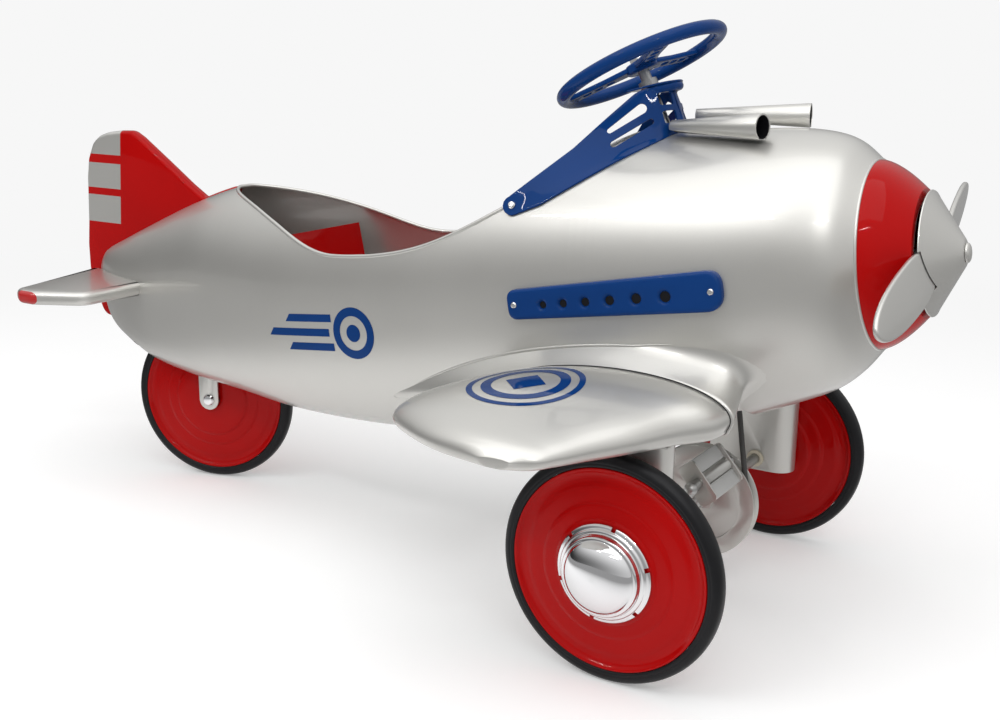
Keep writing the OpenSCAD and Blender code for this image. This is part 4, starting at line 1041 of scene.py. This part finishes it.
# %% [markdown]
# The hub caps are chromed: a stepped dome on a flange that is notched into six tabs. The dome is spun like the
# wheels. A spun piece is the same all round, so small boxes cut the notches afterwards.

# %% Hub caps
DOME = [(0, 27), (9, 26.5), (18, 24.9), (25, 22.4), (30.5, 19.2), (34.2, 15.7), (35.6, 13.2), (36.4, 12.4),
        (38.0, 12.2), (39.2, 11.2), (40.0, 8.6), (40.6, 6.4), (41.4, 5.6), (43.0, 5.4), (44.2, 4.6), (44.8, 3.2),
        (47.4, 2.6), (CAP_R, 1.3), (CAP_R, 0.2)]
CAP_WALL, CAP_OUT, NOTCHES, NOTCH_BOX, NOTCH_UP = 1.2, 0.2, 6, (0.008, 0.0045, 0.008, 1), 2
shell = eased(DOME, 1)
shell += [(max(0, r - CAP_WALL), h - CAP_WALL) for r, h in shell[-6::-1]]


def notch_boxes(place):
    boxes = []
    for i in range(NOTCHES):
        bpy.ops.mesh.primitive_cube_add(size=1)
        box = bpy.context.object
        spot = place @ turned(2 * pi * (i + 0.3) / NOTCHES) @ Matrix.Translation((CAP_R * MM, 0, NOTCH_UP * MM))
        put(box, spot @ Matrix.Diagonal(NOTCH_BOX))
        boxes.append(box)
    return joined("notches", *boxes)


for name, body, place, _ in WHEELS[:2]:
    way = turned(pi, "X") if name == "right" else HERE
    spot = place @ way @ raised(HUB_HALF + CAP_OUT)
    hub_cap = spun(name + "_cap", shell, spot, 96)
    cut(hub_cap, notch_boxes(spot))
    dress(hub_cap, name + "_hub_cap", slot="chrome", body=body)

# %% [markdown]
# The blue exhaust panels look like shallow boxes with soft edges, with six holes that grow towards the nose. A
# plate with a deep bevel gives the soft edge to the outline. It is sunk into the skin, and what would show inside
# is cut away. A black disc at the bottom of each hole is painted shade: it stands for the shadow inside the hole.

# %% Exhaust panels
PANEL_REAR, PANEL_FRONT, PANEL_LONG, PANEL_CORNERS = (392, -25, 15.5), (160, -13, 20), 232, [11, 18, 16, 11]
PANEL_RISE, PANEL_SINK, PANEL_ROUND, SHADE_DISC_FLOOR, SHADE_DISC_THICK = 9, 5, 4.2, 5.4, 0.4
HOLES, HOLE_Y, CORE, CORE_STEPS = 6, -2, (140, 412), 24
rear, front = (Vector((-s, section(s)[0], z)) for s, z, _ in (PANEL_REAR, PANEL_FRONT))
run, low, high = front - rear, PANEL_REAR[2], PANEL_FRONT[2]


def core(first, last):
    """The body's inside between two sections, as a solid that cuts away whatever reaches into it."""
    stops = [mix(first, last, i / CORE_STEPS) for i in range(CORE_STEPS + 1)]
    rows = [full_row(half_section(s, section(s)[1])) for s in stops]
    ends = [[sum(row, Vector()) / len(row)] * len(row) for row in (rows[0], rows[-1])]
    return draped("core", [ends[0]] + rows + [ends[1]], ON_BODY)


PANEL_PLACE = (Matrix.Translation(rear * MM) @ turned(atan2(run.y, run.x)) @ turned(-atan2(run.z, run.x), "Y")
               @ turned(pi / 2, "X") @ Matrix.Diagonal((1, 1, -1, 1)))
panel_line = rounded([(0, -low), (PANEL_LONG, -high), (PANEL_LONG, high), (0, low)], PANEL_CORNERS, 8)
panel_holes = [arc(41.5 + 22.2 * i + 0.9 * i * i, HOLE_Y, 3.5 + 0.36 * i, steps=24) for i in range(HOLES)]
for side, way in SIDES:
    place = way @ ON_BODY @ PANEL_PLACE
    panel = plate(side + "_exhaust", [panel_line] + panel_holes, PANEL_RISE + PANEL_SINK, PANEL_ROUND,
                  place @ raised((PANEL_RISE - PANEL_SINK) / 2), 6)
    cut(panel, core(*CORE))
    dress(panel, side + "_exhaust_panel", slot="blue_paint")
    # Black discs of painted shade: they stand for the shadow at the bottom of each hole.
    shade_discs = [plate("pit", [hole], SHADE_DISC_THICK, 0.0, place @ raised(SHADE_DISC_FLOOR)) for hole in panel_holes]
    dress(joined(side + "_pits", *shade_discs), slot="tyre")

# %% [markdown]
# The windshield is one sheet of steel with a flat side, a round corner and a front on each half. Slots and
# windows are drawn on flat planes, so these come first: one through the foot, the corner and the peak of a side,
# and one through the corner, the ridge and the peak.

# %% Windshield planes
CORNER_S, CORNER_Y, RIDGE_S = 250, 32, 242


def plane_on(a, b, c):
    """The plane through three places: x from a to b, and y up towards c."""
    across = (b - a).normalized()
    out = across.cross(c - a).normalized()
    return Matrix.Translation(a * MM) @ Matrix((across, out.cross(across), out)).transposed().to_4x4()


FOOT, PEAK = on_skin(394, 74, 2.5), over_crown(259, 22, 46)
CORNER, RIDGE = over_crown(CORNER_S, CORNER_Y, -2), over_crown(RIDGE_S, 0, -2)
SIDE_PLANE, FRONT_PLANE = plane_on(FOOT, CORNER, PEAK), plane_on(CORNER, RIDGE, PEAK)
long, wide = (CORNER - FOOT).length, (RIDGE - CORNER).length
print("side", round(long, 1), "mm, half the front", round(wide, 1), "mm")

# %% [markdown]
# From a foot on each side the sheet runs up and forward, turns the corner and closes in front. Bending a flat
# plate by hand would be guesswork. So half of it is drawn as columns, between a lower line on the skin and an
# upper line on the planes.

# %% Windshield sheet
SIDE_COLUMNS, FRONT_COLUMNS, HEEL_R, HEEL_STEPS, BROW = 44, 12, 10, 12, (50, 53)
STRIP = [(362, 73), (325, 91.5), (288, 110), (252, 127)]


def crown_at(s, y):
    half, crown, belly, _ = section(s)
    middle = (crown + belly) / 2
    return middle + (crown - middle) * sqrt(max(0, 1 - (y / half) ** 2))


def lying(plane, points):
    return [plane @ Vector((x * MM, y * MM, 0)) / MM for x, y in points]


heel = [(-HEEL_R * cos(pi * i / HEEL_STEPS), HEEL_R * sin(pi * i / HEEL_STEPS))
        for i in range(HEEL_STEPS // 2 + 1)]
upper = lying(SIDE_PLANE, heel + [(long * 0.47, 27.5), (long * 0.73, 42), (long - 4, 55)])
lower = lying(SIDE_PLANE, [(x, -y) for x, y in heel]) + [on_skin(s, z) for s, z in STRIP]
columns = list(zip(spaced(lower, SIDE_COLUMNS), spaced(upper, SIDE_COLUMNS)))
for i in range(1, FRONT_COLUMNS + 1):
    t = i / FRONT_COLUMNS
    s, y = mix(CORNER_S, RIDGE_S, t), mix(CORNER_Y, 0, t)
    columns.append((from_body(s, y, crown_at(s, y)), *lying(FRONT_PLANE, [(mix(2, wide, t), mix(*BROW, t))])))
print(len(columns), "columns in half a windshield")

# %% [markdown]
# Where the sheet would dip into the body its points are pushed out softly, and averaging neighbouring columns
# gives the round corner. The half is mirrored, a Solidify modifier gives it a thickness, and its edges are
# bevelled, because light catches them.

# %% Windshield from its columns
HEIGHTS, CLEAR, SOFTNESS, BENDS, SHIELD_SHEET, SHIELD_BEVEL = 16, 1.2, 6, 3, 2, 0.7


def pushed(p, far):
    s, y, z = to_body(p)
    gap = y - skin(s, z) - CLEAR
    return from_body(s, y + far * ((gap + sqrt(gap * gap + SOFTNESS)) / 2 - gap), z)


grid = [[pushed(low.lerp(high, j / HEIGHTS), i < SIDE_COLUMNS) for i, (low, high) in enumerate(columns)]
        for j in range(HEIGHTS + 1)]
for _ in range(BENDS):
    for row in grid:
        for i in range(SIDE_COLUMNS - 2, SIDE_COLUMNS + 4):
            row[i] = row[i] * 0.5 + (row[i - 1] + row[i + 1]) * 0.25
shield = draped("windshield", [row + flipped(row)[-2::-1] for row in grid])
modify(shield, "SOLIDIFY", thickness=SHIELD_SHEET * MM, offset=0)
modify(shield, "BEVEL", width=SHIELD_BEVEL * MM, segments=2, limit_method="ANGLE", angle_limit=radians(50))
print("windshield", len(shield.data.polygons), "faces")

# %% [markdown]
# The real sheet has two slots in each side and two windows on each side of the ridge. Holes left out of the grid
# would have stepped outlines. So plates that stand on the two planes cut them.

# %% Windshield openings
CUTTER, WINDOW_X, WINDOW_Y, WINDOW_HIGH, WINDOW_CORNER = 40, (4, 23), (12, 31), 13, 3


def long_hole(x0, y0, r0, x1, y1, r1):
    turn, side = atan2(y1 - y0, x1 - x0), acos((r0 - r1) / sqrt((x1 - x0) ** 2 + (y1 - y0) ** 2))
    a, b = turn * 180 / pi, side * 180 / pi
    return arc(x0, y0, r0, a + b, a + 360 - b, 16) + arc(x1, y1, r1, a - b, a + b, 16)


side_slots = [long_hole(long * 0.71, 27.5, 3, long * 0.93, 35, 5.5),
              long_hole(long * 0.7, 12, 3.6, long * 0.95, 18.5, 3.2)]
x0, x1 = WINDOW_X
windows = [rounded([(x0, y), (x1, y), (x1, y + WINDOW_HIGH), (x0, y + WINDOW_HIGH)], WINDOW_CORNER)
           for y in WINDOW_Y]
for _, way in SIDES:
    for plane, holes in ((SIDE_PLANE, side_slots), (FRONT_PLANE, windows)):
        for hole in holes:
            cut(shield, plate("cutter", [hole], CUTTER, 0.0, way @ plane))
print("with openings", len(shield.data.polygons), "faces")

# %% [markdown]
# A flat hood with a rolled front edge closes the windshield round the steering column's bush. The hood is a plate
# with a hole, and a thick tapering tube makes the rolled edge. All are joined, because on the toy they are one
# pressing.

# %% Hood
HOOD = [(-14, -30), (10, -29), (28, -23), (36, 0), (28, 23), (10, 29), (-14, 30)]
HOOD_CORNERS, HOOD_HOLE, HOOD_SHEET, HOOD_EDGE = [3, 20, 20, 30, 20, 20, 3], 10.3, 2, 0.9
ON_HOOD = ON_COLUMN @ raised(-25) @ turned(radians(12), "Y")
ROLL_R, ROLL_BACK, ROLL_NARROW, ROLL_DOWN = 5.2, 4.6, 0.84, -4.2
hood = plate("hood", [rounded(HOOD, HOOD_CORNERS), arc(0, 0, HOOD_HOLE)], HOOD_SHEET, HOOD_EDGE, ON_HOOD)
front_edge = [Vector(((x - ROLL_BACK) * MM, y * ROLL_NARROW * MM, ROLL_DOWN * MM)) for x, y in eased(HOOD[1:-1], 2)]
roll = tube("roll", [ON_HOOD @ p / MM for p in front_edge], ROLL_R, taper=True)
windshield = joined("windshield", shield, hood, roll)
dress(windshield, "windshield_frame", slot="blue_paint", sharp=radians(45))

# %% [markdown]
# The guns are rolled tubes, and their mouths look dark because little light gets in. In a pale room the bare
# inside would look pale too. So a thin black cup of painted shade, spun about each gun's own line, lines the bore.

# %% Gun bores
GUNS = [("right", Vector((CORNER.x + 5, -27, CORNER.z + 8)), over_crown(141, -51.5, 3)),
        ("left", Vector((CORNER.x + 6, 29, CORNER.z + 17)), over_crown(128, 53, 9))]
for side, breech, mouth in GUNS:
    bore = mouth - breech
    end = bore.length - 0.5
    # A black cup of painted shade: it stands for the shadow inside the gun's mouth.
    shade_cup = [(0, 4), (5.4, 4), (11.3, end), (11, end), (5.1, 4.5), (0, 4.5)]
    place = Matrix.Translation(breech * MM) @ bore.to_track_quat("Z", "Y").to_matrix().to_4x4()
    dress(spun(side + "_bore", shade_cup, place, 48), slot="tyre")

# %% [markdown]
# The steering wheel is a round blue rim on three drilled spokes. The rim starts as a torus, which is flattened a
# little in edit mode. The spokes are plates, because a plate can have holes, and the hub is spun.

# %% Steering wheel
GRIP_R, GRIP_THICK, GRIP_FLAT, SPOKES, SPOKE_DOWN = 86.5, 7.5, 0.94, (90, 210, 330), -0.5
SPOKE_THICK, SPOKE_ROUND, SPOKE_HOLE, SPOKE_HOLES = 5, 1.2, 4.5, (0.42, 0.58, 0.74)
BOSS = [(6.1, -6), (15, -6), (17, -4.5), (17, 2), (15.5, 3.6), (12, 4), (6.1, 4), (6.1, -6)]
ON_WHEEL = ON_COLUMN @ turned(-STEER_REST)
clear()
bpy.ops.mesh.primitive_torus_add(major_segments=128, minor_segments=24, major_radius=GRIP_R * MM,
                                 minor_radius=GRIP_THICK * MM)
grip = bpy.context.object
edit(grip)
bpy.ops.transform.resize(value=(1, 1, GRIP_FLAT))
clear()
put(grip, ON_WHEEL)
end = GRIP_R - 2
spoke = rounded([(13, -12), (40, -10), (end, -13), (end, 13), (40, 10), (13, 12)], [2, 30, 2, 2, 30, 2])
drilled = [spoke] + [arc(GRIP_R * share, 0, SPOKE_HOLE, steps=24) for share in SPOKE_HOLES]
wheel_parts = [grip]
for angle in SPOKES:
    spot = ON_WHEEL @ turned(radians(angle)) @ raised(SPOKE_DOWN)
    wheel_parts.append(plate("spoke", drilled, SPOKE_THICK, SPOKE_ROUND, spot))
wheel_parts.append(spun("boss", BOSS, ON_WHEEL, 64))
dress(joined("hand_wheel", *wheel_parts), "steering_wheel", slot="blue_paint", body="steering")

# %% [markdown]
# The belt is a round rubber cord from the drive pulley on the crank to the small one on the propeller's shaft. It
# turns a quarter on its way up, because one pulley lies across the other. Its path is the one of the solid model
# with more points, and a round curve follows it.

# %% Belt
DRIVE_R, SMALL_R, PULLEY_S, BELT_R = 52, 16, 200, 2.95
LOW_STEPS, HIGH_STEPS, SPAN_STEPS = 48, 24, 16
top_pulley = from_body(PULLEY_S, 0, 0)
rise = Vector((top_pulley.x - FRONT_X, top_pulley.z - WHEEL_R))
lean, wrap = atan2(rise.y, rise.x), acos(DRIVE_R / rise.length)
low_turn = [mix(lean - wrap, lean + wrap - 2 * pi, i / LOW_STEPS) for i in range(LOW_STEPS + 1)]
low_run = [Vector((FRONT_X + DRIVE_R * cos(a), 0, WHEEL_R + DRIVE_R * sin(a))) for a in low_turn]
high_turn = [pi * i / HIGH_STEPS for i in range(HIGH_STEPS + 1)]
high_run = [from_body(PULLEY_S, SMALL_R * cos(a), SMALL_R * sin(a)) for a in high_turn]
loop = low_run + [low_run[-1].lerp(high_run[0], i / SPAN_STEPS) for i in range(1, SPAN_STEPS)] + high_run
loop += [high_run[-1].lerp(low_run[0], i / SPAN_STEPS) for i in range(1, SPAN_STEPS)]
dress(tube("drive_belt", loop, BELT_R, True, 5), "propeller_belt", slot="belt")

# %% [markdown]
# Legs, fork, pedals, guns and small fittings already have the right shape as solids, so they aren't drawn again.
# A copy of each is welded, its flat faces are made whole and its edges are rounded, because light catches a
# rounded edge. The record says which body and slot each one has.

# %% Rounded copies of solids
ROUNDING = {"right_gun": 0.4, "left_gun": 0.4, "right_leg": 0.5, "left_leg": 0.5, "tail_fork": 0.8,
            "fork_arm_plate": 0.5, "tail_axle_bolt": 0.5, "drive_pulley": 0.5, "right_pedal_frame": 0.5,
            "right_pedal_pads": 1.5, "left_pedal_frame": 0.5, "left_pedal_pads": 1.5, "seat_pan": 0.6,
            "axle_nuts": 0.5, "column_nut": 0.5, "windshield_screws": 0.4, "exhaust_screws": 0.4, "leg_bolts": 0.4,
            "axle_bushes": 0.6, "seat_bars": 0.5, "steering_arm": 0.4, "column_brace": 0.4, "nose_bulkhead": 0.3,
            "tail_bracket": 0.4}
slots = {part["node"]: part["material_slot"] for part in frame["record"]["subparts"]}
bodies = {node: body for body, nodes in frame["record"]["behaviour"]["bodies"].items() for node in nodes}


def softened(node, width):
    piece = bpy.data.objects.new(node + "_rounded", frame["nodes"][node].data.copy())
    bpy.context.collection.objects.link(piece)
    pick(piece)
    bpy.ops.mesh.customdata_custom_splitnormals_clear()
    weld(piece)
    edit(piece)
    bpy.ops.mesh.dissolve_limited(angle_limit=radians(1))
    clear()
    modify(piece, "BEVEL", width=width * MM, segments=2, limit_method="ANGLE", angle_limit=radians(40),
           use_clamp_overlap=True)
    return piece


for node, width in ROUNDING.items():
    dress(softened(node, width), node, slot=slots[node], body=bodies[node])

# %% [markdown]
# What is left of the solid model, such as the crank, the shafts and the bearings, is round or hardly seen. It
# keeps its own shape and only gets the finish of its slot.

# %% Finishes on the remaining solids
for name, node in frame["nodes"].items():
    node.data.materials.clear()
    node.data.materials.append(BY_SLOT[slots[name]].material)
print("finished solids", sum(not node.hide_render for node in frame["nodes"].values()))

# %% [markdown]
# The toy stands on white paper. A plain white plane would end in a line against the room. Near the toy this one
# takes shadows like paper, and further off it fades into the same white as the room. Mirrored rays see it fade
# into a dim room, as chrome in a studio does.

# %% Floor
BACKDROP, GLOW, DIM = 0.93, 0.22, 0.35
FLOOR_SIZE, PAPER, BLACK = 30, (0.88, 0.88, 0.88, 1), (0, 0, 0, 1)
FADE, MIRROR_FADE = (0.8, 2.4), (0.45, 1.0)
SMOOTH = {"interpolation_type": "SMOOTHSTEP"}
clear()
bpy.ops.mesh.primitive_plane_add(size=FLOOR_SIZE)
floor = bpy.context.object
floor.name = "floor"
paper = Finish("floor_paper", roughness=0.8, specular_ior_level=0.0, emission_strength=1.0)
eye, mirror = (paper.node("LightPath", out=ray) for ray in ("Is Camera Ray", "Is Glossy Ray"))
far = paper.node("VectorMath", {"operation": "LENGTH"}, {0: paper.place}, "Value")


def spread(near, off):
    return paper.node("MapRange", SMOOTH, {"Value": far, "From Min": near, "From Max": off})


fade = eye * spread(*FADE) + mirror * spread(*MIRROR_FADE)
paper.feed("Base Color", paper.mix(fade, PAPER, BLACK))
paper.feed("Emission Color", (eye + mirror) * (1 - fade) * GLOW + fade * (eye * BACKDROP + mirror * DIM))
floor.data.materials.append(paper.material)
print("floor", FLOOR_SIZE, "m")

# %% [markdown]
# The light is that of a plain studio. One large soft lamp overhead shapes the body without hard shadows. Two
# narrow tubes draw the thin bright streaks that gloss enamel shows.

# %% Lamps
TUBE = (1.3, 0.018)
LAMPS = [("overhead", (0.3, -0.6, 2.6), (0, 0, 0.3), (3.6, 2.4), 30),
         ("first_tube", (1.4, -1.75, 2.0), (0.2, 0, 0.35), TUBE, 8),
         ("second_tube", (-0.8, -1.9, 2.1), (0.0, 0, 0.35), TUBE, 8)]
for name, place, target, size, power in LAMPS:
    bpy.ops.object.light_add(type="AREA", location=place)
    light = bpy.context.object
    light.name, light.data.shape, light.data.energy = name, "RECTANGLE", power
    light.data.size, light.data.size_y = size
    light.rotation_euler = (Vector(target) - Vector(place)).to_track_quat("-Z", "Y").to_euler()
    print(name, power, "W")

# %% [markdown]
# The room is an even pale light, which the camera sees as white. White all round would leave chrome without
# contrast. So mirrored rays see a room that is dim at eye level, less so towards the nose, and bright above.

# %% Room
AMBIENT, WALL, WALL_TURN, CEILING = 0.62, 0.33, 0.30, (0.05, 0.75)
world = bpy.data.worlds.new("studio")
bpy.context.scene.world = world
world.use_nodes = True
tree = world.node_tree
eye, through, mirror = (add_node(tree, "LightPath", out=f"Is {ray} Ray")
                        for ray in ("Camera", "Transmission", "Glossy"))
view = add_node(tree, "TexCoord", out="Generated")
level, sideways = (add_node(tree, "SeparateXYZ", {}, {0: view}, axis) for axis in "ZX")
ceiling = add_node(tree, "MapRange", SMOOTH, {"Value": level, "From Min": CEILING[0], "From Max": CEILING[1]})
wall = WALL + WALL_TURN * sideways
room = wall + ceiling * (BACKDROP - wall)
power = AMBIENT + eye.larger(through) * (BACKDROP - AMBIENT) + mirror * (room - AMBIENT)
join(tree, power, tree.nodes["Background"].inputs["Strength"])
tree.nodes["Background"].inputs["Color"].default_value = (1, 1, 1, 1)
bpy.context.scene.view_settings.view_transform = "Standard"
print("room ready")
